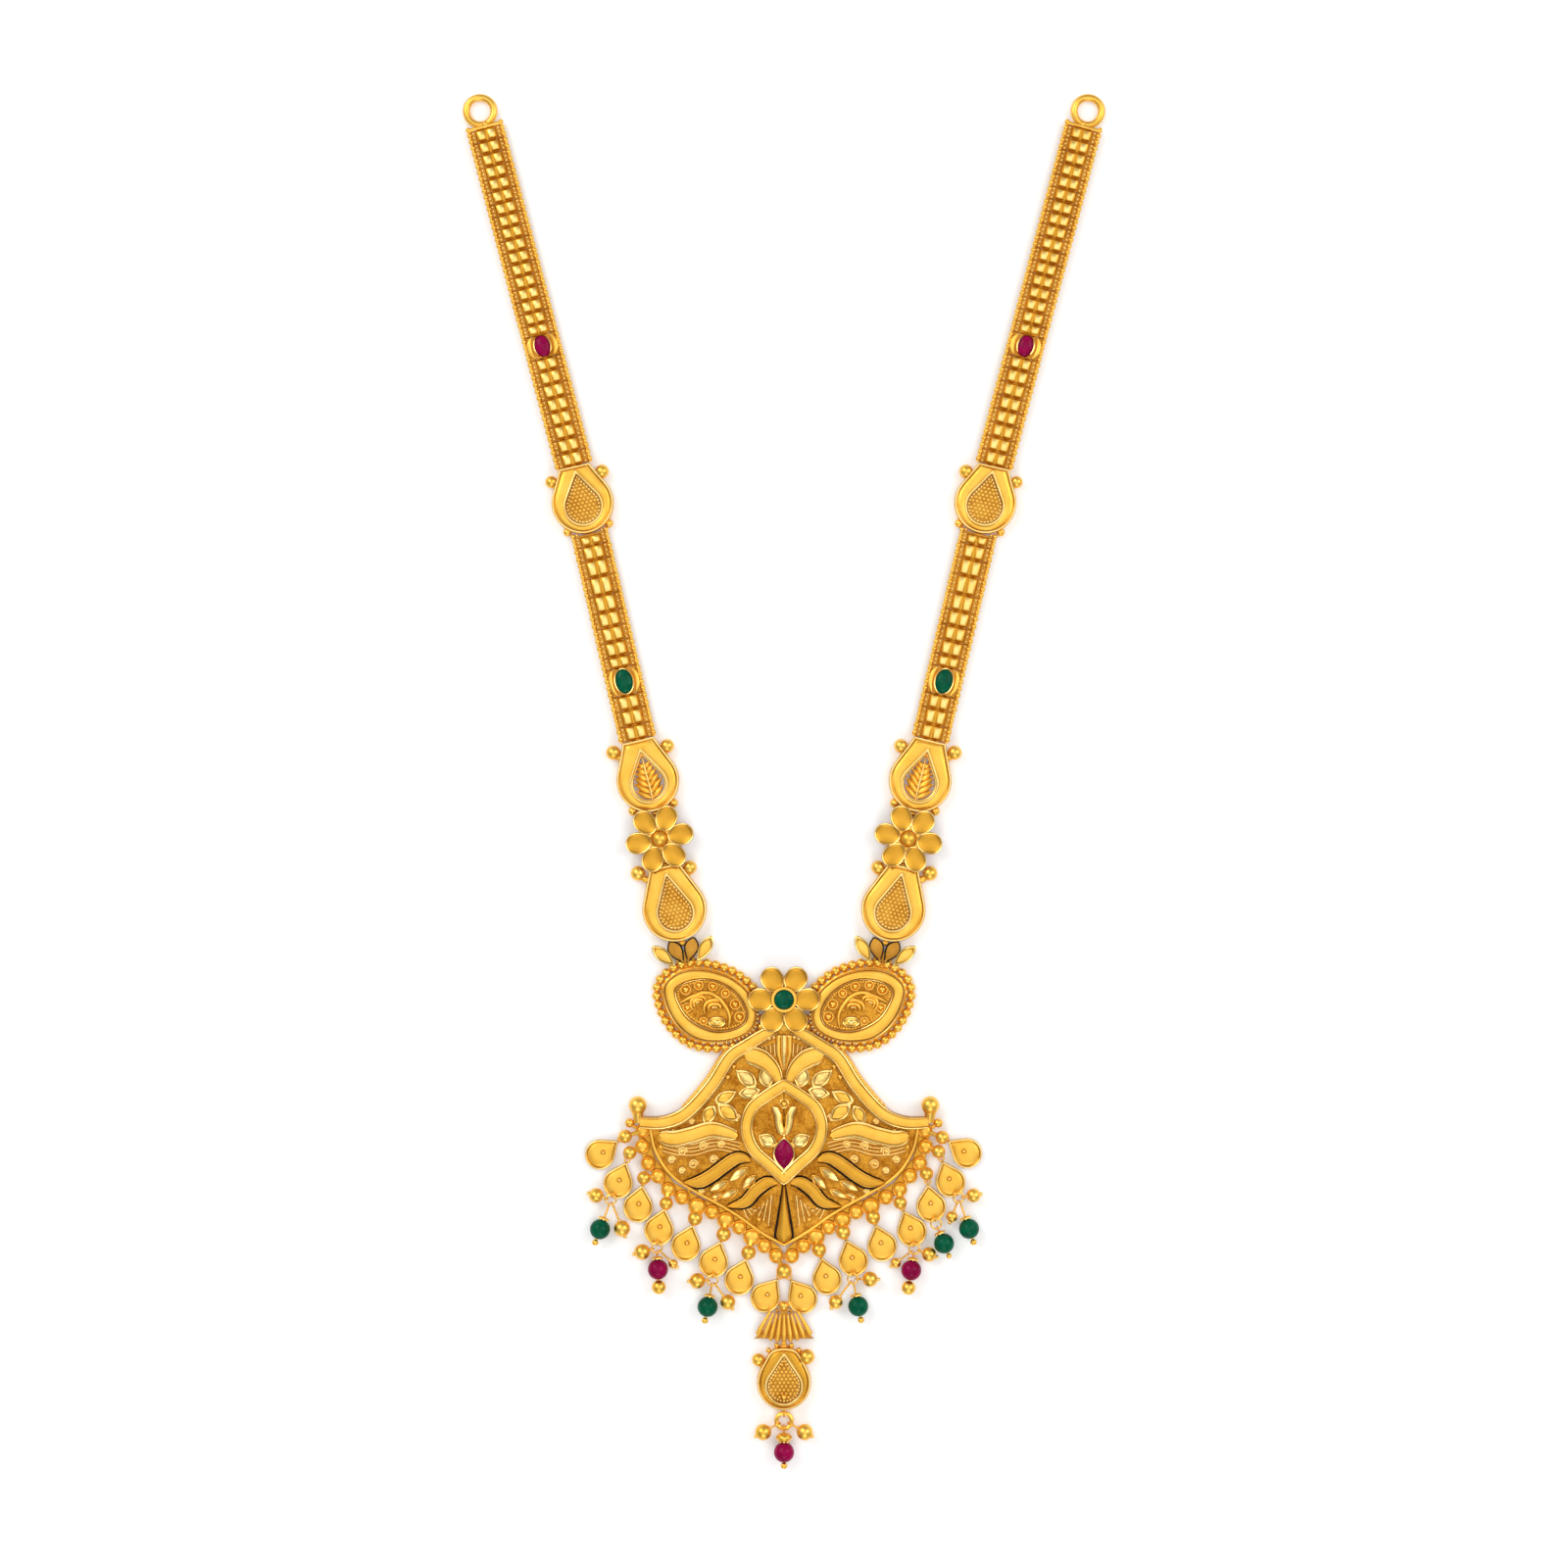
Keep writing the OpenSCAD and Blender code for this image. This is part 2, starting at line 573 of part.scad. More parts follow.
module pendant_body_solid() {
    shoulder = spline(shoulder_line);
    rim = spline(rim_line);
    plate = concat([[0, -45.9]], shoulder, rim, mirrored(rim), mirrored(shoulder));
    difference() {
        union() {
            slab(plate, 0.9, 0.9 + plate_t);
            pair() {
                slab(ribbon(shoulder, shoulder_w, 0.7, 0.9), 0.1, 2.6);
                slab(ribbon(rim, 0.8), 0.92, 2.0);
                slab(ribbon(spline(comma_line), 2.3, 0.8, 0.5), 1.2, 2.5);
                slab(ribbon(spline(upper_leaf_line), 2.3, 0.5, 0.4), 1.3, 2.45);
                slab(ribbon(spline(middle_leaf_line), 2.2, 0.3, 0.3), 1.25, 2.4);
                slab(ribbon(spline(lower_leaf_line), 2.1, 0.3, 0.3), 1.2, 2.35);
                slab(ribbon([for (i = [7:13]) shoulder[i] - side_of(shoulder, i) * 1.3], 0.9, 0.6, 0.6),
                    0.2, 1.6);
                for (l = small_leaves)
                    translate([l[0], l[1], 0])
                        rotate([0, 0, l[2] - 90])
                            slab(leaf(l[3], l[4]), 1.3, 2.2);
                ball_to([-26.8, -59.5, 1.5], [-26.6, -62.5, 1.5], 1.49);
                rod([-26.8, -59.5, 1.5], [-26.6, -62.5, 1.5], 0.75);
            }
            difference() {
                slab(frame_loop(frame_w / 2), 0.95, 2.8);
                slab(frame_loop(-frame_w / 2), 0.9 + plate_t, 4);
            }
            translate([0, -68.2, 0])
                slab(lens(marquise[0] + 1.2, marquise[1] + 0.9), 1.2, 2.7);
            translate([0, -83.1, 0])
                slab(drop(1.6, 9.3, 0.2), 1.15, 2.65);
            pair() {
                rod([0.6, -57.5, 1.6], [0.7, -64.0, 1.9], 0.45);
                ball([3.5, -65.7], 1.2, 1.7);
            }
            ball([0, -59.1], 0.55, 1.8);
            block([-0.9, 0.9], [-52.5, -46.5], [1.2, 2.2]);
            block([-1.9, 1.9], [-46.8, flower_y], [0.1, 1.05]);
            translate([0, flower_y, 0.1])
                cylinder(h = 0.95, r = 2.7);
            pair() {
                wing_post();
            }
        }
        translate([0, flower_y, -1])
            cylinder(h = 4, r = 0.72);
        translate([0, -68.2, 0])
            slab(lens(marquise[0] + 0.25, marquise[1] + 0.16), 1.8, 5);
        pair()
            for (p = rivets)
                translate([p[0], p[1], -1])
                    cylinder(h = 6, r = 0.42);
    }
}

// The lobe and post that a wing's eye drops over
module wing_post() {
    block([post_place[0], 0], [post_place[1] - 0.9, post_place[1] + 0.9], [0.1, 1.05]);
    translate([post_place[0], post_place[1], 0.1]) {
        cylinder(h = 0.95, r = 0.93);
        cylinder(h = 1.55, r = 0.45);
    }
}

// A faceted stone: girdle, crown and table over a lens
module cut_stone(stone, base, rise) {
    girdle = lens(stone[0], stone[1]);
    table = 0.55 * girdle;
    n = len(girdle);
    points = concat([for (q = 0.8 * girdle) [q[0], q[1], base]],
        [for (q = girdle) [q[0], q[1], base + 0.6]], [for (q = table) [q[0], q[1], base + rise]]);
    polyhedron(points, concat([[for (i = [0:n - 1]) i]],
        [for (k = [0, 1], i = [0:n - 1]) let (j = (i + 1) % n)
            [k * n + j, k * n + i, (k + 1) * n + i, (k + 1) * n + j]],
        [[for (i = [n - 1:-1:0]) 2 * n + i]]));
}

module ruby_marquise_solid() {
    translate([0, -68.2, 0])
        cut_stone(marquise, 1.85, 1.35);
}

// Fringe
// Columns: x, y, radius of the cups below the left half of the rim
cups = [[-25.9, -64.1, cup_r], [-26.0, -67.0, cup_r], [-24.9, -70.1, cup_r],
    [-23.1, -72.4, cup_r], [-21.2, -74.9, cup_r], [-18.7, -76.3, cup_r], [-15.9, -78.0, 1.55],
    [-13.2, -79.0, cup_r], [-10.7, -80.5, 1.45], [-8.2, -81.8, cup_r], [-5.9, -83.6, 1.5],
    [-3.6, -85.2, cup_r], [-1.4, -87.05, cup_r]];
rivets = [[-22.6, -67.0], [-15.4, -73.6], [-4.6, -80.3]];
// Columns: dot x, dot y, turn of the tip towards the middle, knot radius, knot distance
left_discs = [[-33.2, -68.1, 53.5, 1.1, 5.1], [-30.2, -73.2, 21, 1.1, 5.5],
    [-26.65, -77.55, 11.5, 1.1, 5.0], [-22.75, -81.75, 15, 1.25, 4.6], [-17.8, -84.7, 18, 1.35, 4.9],
    [-12.7, -87.7, 19, 1.35, 5.0], [-8.0, -90.9, 18, 1.35, 4.85], [-3.05, -94.2, 33.8, 0, 5.4]];
right_discs = [[-33.0, -67.9, 56.6, 1.1, 4.8], [-30.3, -72.95, 21.4, 1.1, 5.5],
    [-26.9, -77.43, 8.2, 1.1, 5.6], [-23.2, -82.0, 21.9, 1.25, 5.2], [-17.8, -84.7, 17, 1.35, 5.1],
    [-12.5, -87.4, 19, 1.35, 5.1], [-7.7, -90.8, 14.4, 1.35, 5.2], [-3.05, -94.4, 32, 0, 5.4]];
centre_knot = [0, -89.7];
hang_z = 0.62;
loop_r = 0.43;
loop_wire_r = 0.15;
eye_r = 0.5;
disc_eye = 4.0;
disc_drop = 0.7;

function axis(d) = [sin(d[2]), cos(d[2])];
function dot_of(d) = [d[0], d[1]];
function knot_of(d) = dot_of(d) + axis(d) * d[4];
function disc_centre(d) = dot_of(d) - axis(d) * disc_drop;
function nearest(p) = let (far = min([for (c = cups) norm(flat(c) - p)]))
    [for (c = cups) if (norm(flat(c) - p) <= far) c][0];

module cup(c) {
    r = c[2];
    translate([c[0], c[1], 0])
        rotate_extrude()
            polygon(concat([[0, 0.3], [r, 0.3], [r, 1.9], [r - 0.28, 1.9]],
                [for (a = [10:20:70]) [(r - 0.35) * cos(a), 1.25 + 0.6 * sin(a)]], [[0, 1.85]]));
}

// The loop below a knot, round the far side of a disc's eye
module disc_loop(d, knot, r) {
    p = dot_of(d) + axis(d) * (disc_eye + eye_r);
    standing_ring(p, loop_r, loop_wire_r, hang_z, 90 - d[2]);
    rod([p[0], p[1], hang_z + loop_r], [knot[0], knot[1], 1.0 + r], 0.3);
}

module cup_row_solid(discs, has_centre) {
    rim = spline(rim_line);
    shoulder = concat(spline(shoulder_line), [shoulder_end]);
    difference() {
        union() {
            slab(ribbon([for (c = cups) flat(c)], 1.3), 0.1, 0.72);
            for (c = cups)
                cup(c);
            for (i = [0:6]) {
                k = knot_of(discs[i]);
                r = discs[i][3];
                n = nearest(k);
                ball_to([k[0], k[1], 1.0 + r], [n[0], n[1], 1.3], r);
                rod([k[0], k[1], 1.0 + r], [n[0], n[1], 1.3], 0.4);
            }
        }
        slab(ribbon(rim, 1.1), 0.8, 5);
        slab(concat(rim, [[0, -70]]), 0.8, 5);
        slab(ribbon(shoulder, shoulder_w + 0.3, 0.9, 1), -1, 5);
    }
    for (i = [0:6])
        disc_loop(discs[i], knot_of(discs[i]), discs[i][3]);
    ball_to([-28.3, -62.7, 1.2], [-26.2, -64.15, 1.2], 0.85);
    rod([-28.3, -62.7, 1.2], [-26.2, -64.15, 1.2], 0.3);
    for (p = rivets) {
        n = nearest(p);
        rod([n[0], n[1], 0.42], [p[0], p[1], 0.42], 0.3);
        translate([p[0], p[1], 0.1])
            cylinder(h = 0.65, r = 0.7);
        translate([p[0], p[1], 0.1])
            cylinder(h = 1.75, r = 0.3);
    }
    if (has_centre) {
        ball_to([0, -89.7, 2.4], [-1.4, -87.05, 1.2], 1.44);
        rod([0, -89.7, 2.4], [-1.4, -87.05, 1.2], 0.45);
        disc_loop(left_discs[7], centre_knot, 1.2);
        mirror([1, 0, 0])
            disc_loop(right_discs[7], centre_knot, 1.2);
    }
}

module disc_row(discs, clusters) {
    for (d = discs)
        translate([d[0], d[1], 0])
            rotate([0, 0, -d[2]])
                disc();
    for (c = clusters)
        face_hanger(disc_centre(c[0]), c[1]);
    edge_hanger(disc_centre(discs[7]), fan_eye);
}

module disc() {
    outline = shifted(drop(disc_r, 4.1, 0.1), [0, -disc_drop]);
    difference() {
        slab(outline, 0.3, 1.15);
        slab(shifted(drop(disc_r - 0.3, 3.6, 0.1), [0, -disc_drop]), 0.85, 2);
    }
    ball([0, 0], 0.35, 0.85);
    flat_ring([0, disc_eye], eye_r, loop_wire_r, hang_z);
}

// A loop on a disc's face that holds a cluster's jump ring
module face_hanger(centre, ring) {
    a = heading(centre, ring);
    p = polar(centre, face_reach, a);
    standing_ring(p, loop_r, loop_wire_r, jump_z, a);
    translate([p[0], p[1], 0.6])
        cylinder(h = 0.42, r = 0.32);
}

// A loop on a disc's edge that holds the near side of the fan's eye ring
module edge_hanger(centre, ring) {
    a = heading(ring, centre);
    p = polar(ring, eye_r, a);
    standing_ring(p, loop_r, loop_wire_r, hang_z, a);
    rod([p[0] + loop_r * cos(a), p[1] + loop_r * sin(a), hang_z],
        [p[0] + (loop_r + 0.5) * cos(a), p[1] + (loop_r + 0.5) * sin(a), hang_z], 0.2);
}

// Clusters: a jump ring below a disc, with gold balls and one coloured bead linked to it
// Columns: disc, ring centre, ring radius, balls as [x, y, r], bead centre, tail radius, tail gap
jump_r = 0.95;
jump_z = 1.4;
face_reach = 2.2;
function below(d, a) = polar(disc_centre(d), face_reach + jump_r, a);
left_outer = [left_discs[1], below(left_discs[1], -114), jump_r,
    [[-34.45, -75.95, 1.35], [-29.7, -82.0, 1.5]], [-33.7, -82.1], 0.6, 0.1];
left_middle = [left_discs[3], below(left_discs[3], -97), jump_r,
    [[-26.0, -86.3, 1.45], [-20.35, -88.55, 0.85]], [-23.1, -89.45], 1.3, 0.1];
left_inner = [left_discs[5], below(left_discs[5], -93), jump_r,
    [[-15.9, -91.6, 1.45], [-10.3, -95.5, 1.4]], [-14.0, -96.3], 0.6, 0.1];
right_inner = [right_discs[5], below(right_discs[5], -88), jump_r,
    [[-15.8, -91.3, 1.4], [-9.5, -95.5, 1.3]], [-13.6, -96.2], 0.6, 0.1];
right_middle = [right_discs[3], below(right_discs[3], -98), jump_r,
    [[-26.6, -86.75, 1.35], [-20.5, -88.4, 0.95]], [-23.3, -89.6], 1.3, 0.1];
right_hidden = [right_discs[2], below(right_discs[2], -106), jump_r,
    [], [-29.3, -84.7], 0.5, 0.1];
right_outer = [right_discs[1], below(right_discs[1], -118), jump_r,
    [[-34.75, -75.95, 1.3], [-30.8, -79.9, 1.05]], [-33.9, -82.0], 0.6, 0.1];
left_clusters = [left_outer, left_middle, left_inner];
right_clusters = [right_inner, right_middle, right_hidden, right_outer];
bead_z = bead_r + 0.06;

module cluster(c, wire_r = 0.15, ring_z = jump_z) {
    ring = c[1];
    reach = loop_wire_r + wire_r + 0.13;
    flat_ring(ring, c[2], wire_r, ring_z);
    for (b = c[3]) {
        a = heading(ring, b);
        p = polar(ring, c[2], a);
        end = polar(ring, c[2] + reach, a);
        from = [end[0], end[1], ring_z];
        to = [b[0], b[1], b[2] + 0.05];
        standing_ring(p, reach, loop_wire_r, ring_z, a);
        rod(from, to, 0.18);
        ball_to(to, from, b[2]);
        ball_to(to + (to - from) * (b[2] + 0.15) / norm(to - from), to, 0.38);
    }
    a = heading(ring, c[4]);
    p = polar(ring, c[2], a);
    end = polar(ring, c[2] + reach, a);
    neck = polar(c[4], -(bead_r + 0.5), a);
    cap = polar(c[4], -(bead_r + 0.12), a);
    tail = polar(c[4], bead_r + c[5] + c[6], a);
    standing_ring(p, reach, loop_wire_r, ring_z, a);
    rod([end[0], end[1], ring_z], [neck[0], neck[1], bead_z], 0.18);
    rod([neck[0], neck[1], bead_z], [tail[0], tail[1], bead_z], 0.2);
    rod([neck[0], neck[1], bead_z], [cap[0], cap[1], bead_z], 0.85);
    ball_to([tail[0], tail[1], bead_z], [neck[0], neck[1], bead_z], c[5]);
}

module bead(c) {
    a = heading(c[1], c[4]);
    from = polar(c[4], -3, a);
    to = polar(c[4], 3, a);
    difference() {
        ball(c[4], bead_r, bead_z);
        rod([from[0], from[1], bead_z], [to[0], to[1], bead_z], 0.33);
    }
}

// Lower drop
fan_top = -97.0;
fan_bottom = -102.2;
fan_eye = [-0.95, fan_top - 0.5];
lower_place = [0, -110.3];
lower_r = 5.05;
low_drop_top = 6.5;
lower_ring = [0, -117.35];
last_cluster = [[0, 0, 0], lower_ring, 1.4,
    [[-3.8, -119.3, 1.5], [3.8, -119.3, 1.5]], [0, -122.95], 0.62, -0.02];

module fan_link_solid() {
    translate([0, -96.2, 1.4])
        sphere(0.85);
    slab([[-0.45, -96.4], [0.45, -96.4], [0.7, fan_top - 1.2], [5.5, fan_bottom],
        [-5.5, fan_bottom], [-0.7, fan_top - 1.2]], 0.9, 1.5);
    for (i = [-4:4])
        translate([0, -92.6, 0])
            rotate([0, 0, i * 7.2])
                slab([[-0.2, -5.2], [0.2, -5.2], [0.38, -9.9], [-0.38, -9.9]], 1.2, 2.3);
    for (x = [-0.95, 0.95])
        flat_ring([x, fan_eye[1]], eye_r, loop_wire_r, hang_z);
    block([-0.5, 0.5], [fan_bottom, -96.6], [0.4, 1.2]);
    translate([0, lower_place[1] + low_drop_top + 0.1, 0])
        knuckle(0, 1.6);
}

module lower_drop_solid() {
    translate([lower_place[0], lower_place[1], 0]) {
        station_plate(lower_r, low_drop_top, 2.2, 3.1, 4.9, false, false);
        shoulder_balls([-4.7, 4.2, 1.08], [4.2, 4.8, 1.3]);
    }
    standing_ring([0, lower_ring[1] + 1.4], 0.68, loop_wire_r, 0.9, 90);
}

// Nodes of the two straps and their stations, drawn on the left and mirrored for the right
module eyelet(right) {
    color(GOLD)
        both(right)
            eyelet_solid();
}

module strap_upper(right) {
    color(GOLD)
        both(right) {
            link_run(strap_top, upper_lean, upper_rows, 0);
            link_run(strap_top, upper_lean, middle_rows, total(upper_rows) + ruby_row);
        }
}

module strap_lower(right) {
    color(GOLD)
        both(right) {
            link_run(lower_top, lower_lean, lower_rows, 0);
            link_run(lower_top, lower_lean, last_rows, total(lower_rows) + emerald_row);
        }
}

module ruby_setting(right) {
    color(GOLD)
        both(right)
            at(ruby_place, upper_lean)
                oval_setting(ruby_row, ruby_oval);
}

module ruby_oval_stone(right) {
    color(RUBY)
        both(right)
            at(ruby_place, upper_lean)
                cabochon(ruby_oval, 1.62, 0.75);
}

module emerald_setting(right) {
    color(GOLD)
        both(right)
            at(emerald_place, lower_lean)
                oval_setting(emerald_row, emerald_oval);
}

module emerald_oval_stone(right) {
    color(EMERALD)
        both(right)
            at(emerald_place, lower_lean)
                cabochon(emerald_oval, 1.62, 0.8);
}

module drop_station_upper(right) {
    color(GOLD)
        both(right)
            at(drop_upper_place, drop_upper_lean)
                drop_station_upper_solid();
}

module leaf_station(right) {
    color(GOLD)
        both(right)
            at(leaf_place, leaf_lean)
                leaf_station_solid();
}

module flower_station(right) {
    color(GOLD)
        both(right)
            at(flower_place, flower_lean)
                flower_station_solid();
}

module drop_station_lower(right) {
    color(GOLD)
        both(right)
            at(drop_lower_place, drop_lower_lean)
                drop_station_lower_solid();
}

module bud_link(right) {
    color(GOLD)
        both(right)
            at(bud_root, bud_lean)
                bud_link_solid();
}

module wing(right) {
    color(GOLD)
        both(right)
            translate([wing_place[0], wing_place[1], 0])
                wing_solid();
}

// Nodes of the pendant, its fringe and the drop below it
module centre_flower() {
    color(GOLD)
        centre_flower_solid();
}

module emerald_round() {
    color(EMERALD)
        emerald_round_solid();
}

module pendant_body() {
    color(GOLD)
        pendant_body_solid();
}

module ruby_marquise() {
    color(RUBY)
        ruby_marquise_solid();
}

module cup_row_left() {
    color(GOLD)
        cup_row_solid(left_discs, true);
}

module cup_row_right() {
    color(GOLD)
        both(true)
            cup_row_solid(right_discs, false);
}

module discs_left() {
    color(GOLD)
        disc_row(left_discs, left_clusters);
}

module discs_right() {
    color(GOLD)
        both(true)
            disc_row(right_discs, right_clusters);
}

module cluster_gold(data, right) {
    color(GOLD)
        both(right)
            cluster(data);
}

module coloured_bead(data, right, tint) {
    color(tint)
        both(right)
            bead(data);
}

module fan_link() {
    color(GOLD)
        fan_link_solid();
}

module lower_drop() {
    color(GOLD)
        lower_drop_solid();
}

module lower_cluster() {
    color(GOLD)
        cluster(last_cluster, 0.4, 0.9);
}

eyelet(false);  // eyelet_left
eyelet(true);  // eyelet_right
strap_upper(false);  // strap_upper_left
strap_upper(true);  // strap_upper_right
strap_lower(false);  // strap_lower_left
strap_lower(true);  // strap_lower_right
ruby_setting(false);  // ruby_setting_left
ruby_setting(true);  // ruby_setting_right
ruby_oval_stone(false);  // ruby_oval_left
ruby_oval_stone(true);  // ruby_oval_right
emerald_setting(false);  // emerald_setting_left
emerald_setting(true);  // emerald_setting_right
emerald_oval_stone(false);  // emerald_oval_left
emerald_oval_stone(true);  // emerald_oval_right
drop_station_upper(false);  // drop_station_upper_left
drop_station_upper(true);  // drop_station_upper_right
leaf_station(false);  // leaf_station_left
leaf_station(true);  // leaf_station_right
flower_station(false);  // flower_station_left
flower_station(true);  // flower_station_right
drop_station_lower(false);  // drop_station_lower_left
drop_station_lower(true);  // drop_station_lower_right
bud_link(false);  // bud_link_left
bud_link(true);  // bud_link_right
wing(false);  // wing_left
wing(true);  // wing_right
centre_flower();
emerald_round();
pendant_body();
ruby_marquise();
cup_row_left();
cup_row_right();
discs_left();
discs_right();
cluster_gold(left_outer, false);  // cluster_left_outer
cluster_gold(left_middle, false);  // cluster_left_middle
cluster_gold(left_inner, false);  // cluster_left_inner
cluster_gold(right_inner, true);  // cluster_right_inner
cluster_gold(right_middle, true);  // cluster_right_middle
cluster_gold(right_hidden, true);  // cluster_right_hidden
cluster_gold(right_outer, true);  // cluster_right_outer
coloured_bead(left_outer, false, EMERALD);  // bead_left_outer
coloured_bead(left_middle, false, RUBY);  // bead_left_middle
coloured_bead(left_inner, false, EMERALD);  // bead_left_inner
coloured_bead(right_inner, true, EMERALD);  // bead_right_inner
coloured_bead(right_middle, true, RUBY);  // bead_right_middle
coloured_bead(right_hidden, true, EMERALD);  // bead_right_hidden
coloured_bead(right_outer, true, EMERALD);  // bead_right_outer
fan_link();
lower_drop();
lower_cluster();
coloured_bead(last_cluster, false, RUBY);  // ruby_bead
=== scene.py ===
"""Looks of a long gold necklace that lies flat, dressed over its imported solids.

Lengths are millimetres in the part's own frame: X to the right, Y up along the necklace and Z out
of the floor. The meshes are written in metres.
"""

import copy
import functools
import json
import logging
import math
from dataclasses import dataclass, field
from enum import Enum
from typing import Any, Optional, Self, Sequence, Union

import bpy
import numpy as np
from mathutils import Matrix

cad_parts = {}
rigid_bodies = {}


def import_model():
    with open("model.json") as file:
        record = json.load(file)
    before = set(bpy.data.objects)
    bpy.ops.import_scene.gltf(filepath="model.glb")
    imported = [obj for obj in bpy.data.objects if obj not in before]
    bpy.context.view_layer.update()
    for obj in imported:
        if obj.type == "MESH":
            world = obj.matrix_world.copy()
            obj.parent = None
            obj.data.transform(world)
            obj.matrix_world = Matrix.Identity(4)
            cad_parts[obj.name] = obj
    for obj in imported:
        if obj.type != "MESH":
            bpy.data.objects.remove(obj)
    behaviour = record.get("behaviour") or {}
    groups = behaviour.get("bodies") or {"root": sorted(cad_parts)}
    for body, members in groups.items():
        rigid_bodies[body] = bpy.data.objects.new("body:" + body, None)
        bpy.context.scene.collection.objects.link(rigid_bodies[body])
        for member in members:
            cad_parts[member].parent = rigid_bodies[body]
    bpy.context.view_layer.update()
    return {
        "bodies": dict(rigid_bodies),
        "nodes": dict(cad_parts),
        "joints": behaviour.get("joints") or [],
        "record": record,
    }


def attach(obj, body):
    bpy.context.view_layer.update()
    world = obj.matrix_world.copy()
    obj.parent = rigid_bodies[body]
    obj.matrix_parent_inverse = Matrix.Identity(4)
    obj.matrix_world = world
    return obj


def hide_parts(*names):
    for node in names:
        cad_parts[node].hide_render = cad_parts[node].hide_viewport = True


LOG = logging.getLogger("necklace")
MM = 0.001
TURN = 2 * math.pi
TINY = 1e-9
SHARP = math.radians(42)
# The slope at which a tube takes another guide, the grid that joins points, and a closed line's readings
STEEP = 0.9
JOINS_PER_MM = 1e4
READINGS = 720
Array = np.ndarray
Point = Sequence[float]
Pair = tuple[float, float]
Triple = tuple[float, float, float]
Line = tuple[Pair, ...]
Spots = tuple[Triple, ...]
Rows = tuple[tuple[float, float, float, float, float], ...]

# The hinges' line, bore, sleeve and posts, and the rings that two sub-assemblies share
WIRE_Z, BORE, SLEEVE = 0.58, 0.32, 0.58
POSTS = (-1.55, 1.15)
FAN_EYE: Pair = (-0.95, -97.5)
LAST_RING: Pair = (0.0, -117.35)


class Finish(Enum):
    """The surface finishes, by the name of their material."""

    SATIN = "satin_gold"
    POLISHED = "polished_gold"
    # Painted highlight: a lighter copy of the gold for wire tops, rims and bright spots
    PALE = "pale_gold_wire"
    GROUND = "hammered_gold_ground"
    # Painted shade: a darker copy of the satin gold for hollows, sides and sunk parts
    AMBER = "deep_satin_gold"
    # Painted shade: a dark copy of the gold for walls, grooves, gaps and outlines
    BRONZE = "shaded_gold"
    # Painted shade: near black, for shadow lines beside leaves and for grooves and outlines
    ENAMEL = "black_enamel"
    RUBY = "ruby_stone"
    EMERALD = "emerald_stone"


SATIN, POLISHED, PALE, GROUND, AMBER, BRONZE, ENAMEL, RUBY, EMERALD = Finish
Finishes = Union[Finish, Sequence[Finish]]


# Shader building


class Value:
    """A number socket whose operators add Math nodes."""

    def __init__(self, board: "NodeBoard", socket: Any) -> None:
        """Keeps the board that new nodes go on, and the output socket."""
        self.board = board
        self.socket = socket

    def _math(self, operation: str, first: Any, second: Any) -> "Value":
        """Returns the result of one Math node on two Values or numbers."""
        node = self.board.node("ShaderNodeMath", {"operation": operation}, {0: first, 1: second})
        return Value(self.board, node.outputs[0])

    def __add__(self, other: Any) -> "Value":
        """Returns this value plus another."""
        return self._math("ADD", self, other)

    def __radd__(self, other: Any) -> "Value":
        """Returns a number plus this value."""
        return self._math("ADD", other, self)

    def __sub__(self, other: Any) -> "Value":
        """Returns this value less another."""
        return self._math("SUBTRACT", self, other)

    def __rsub__(self, other: Any) -> "Value":
        """Returns a number less this value."""
        return self._math("SUBTRACT", other, self)

    def __mul__(self, other: Any) -> "Value":
        """Returns this value times another."""
        return self._math("MULTIPLY", self, other)

    def __rmul__(self, other: Any) -> "Value":
        """Returns a number times this value."""
        return self._math("MULTIPLY", other, self)

    def clipped(self, low: float, high: float) -> "Value":
        """Returns the stretch from low to high spread over 0 to 1, and held inside it."""
        node = self.board.node("ShaderNodeMapRange", {}, {"Value": self, "From Min": low, "From Max": high})
        return Value(self.board, node.outputs[0])


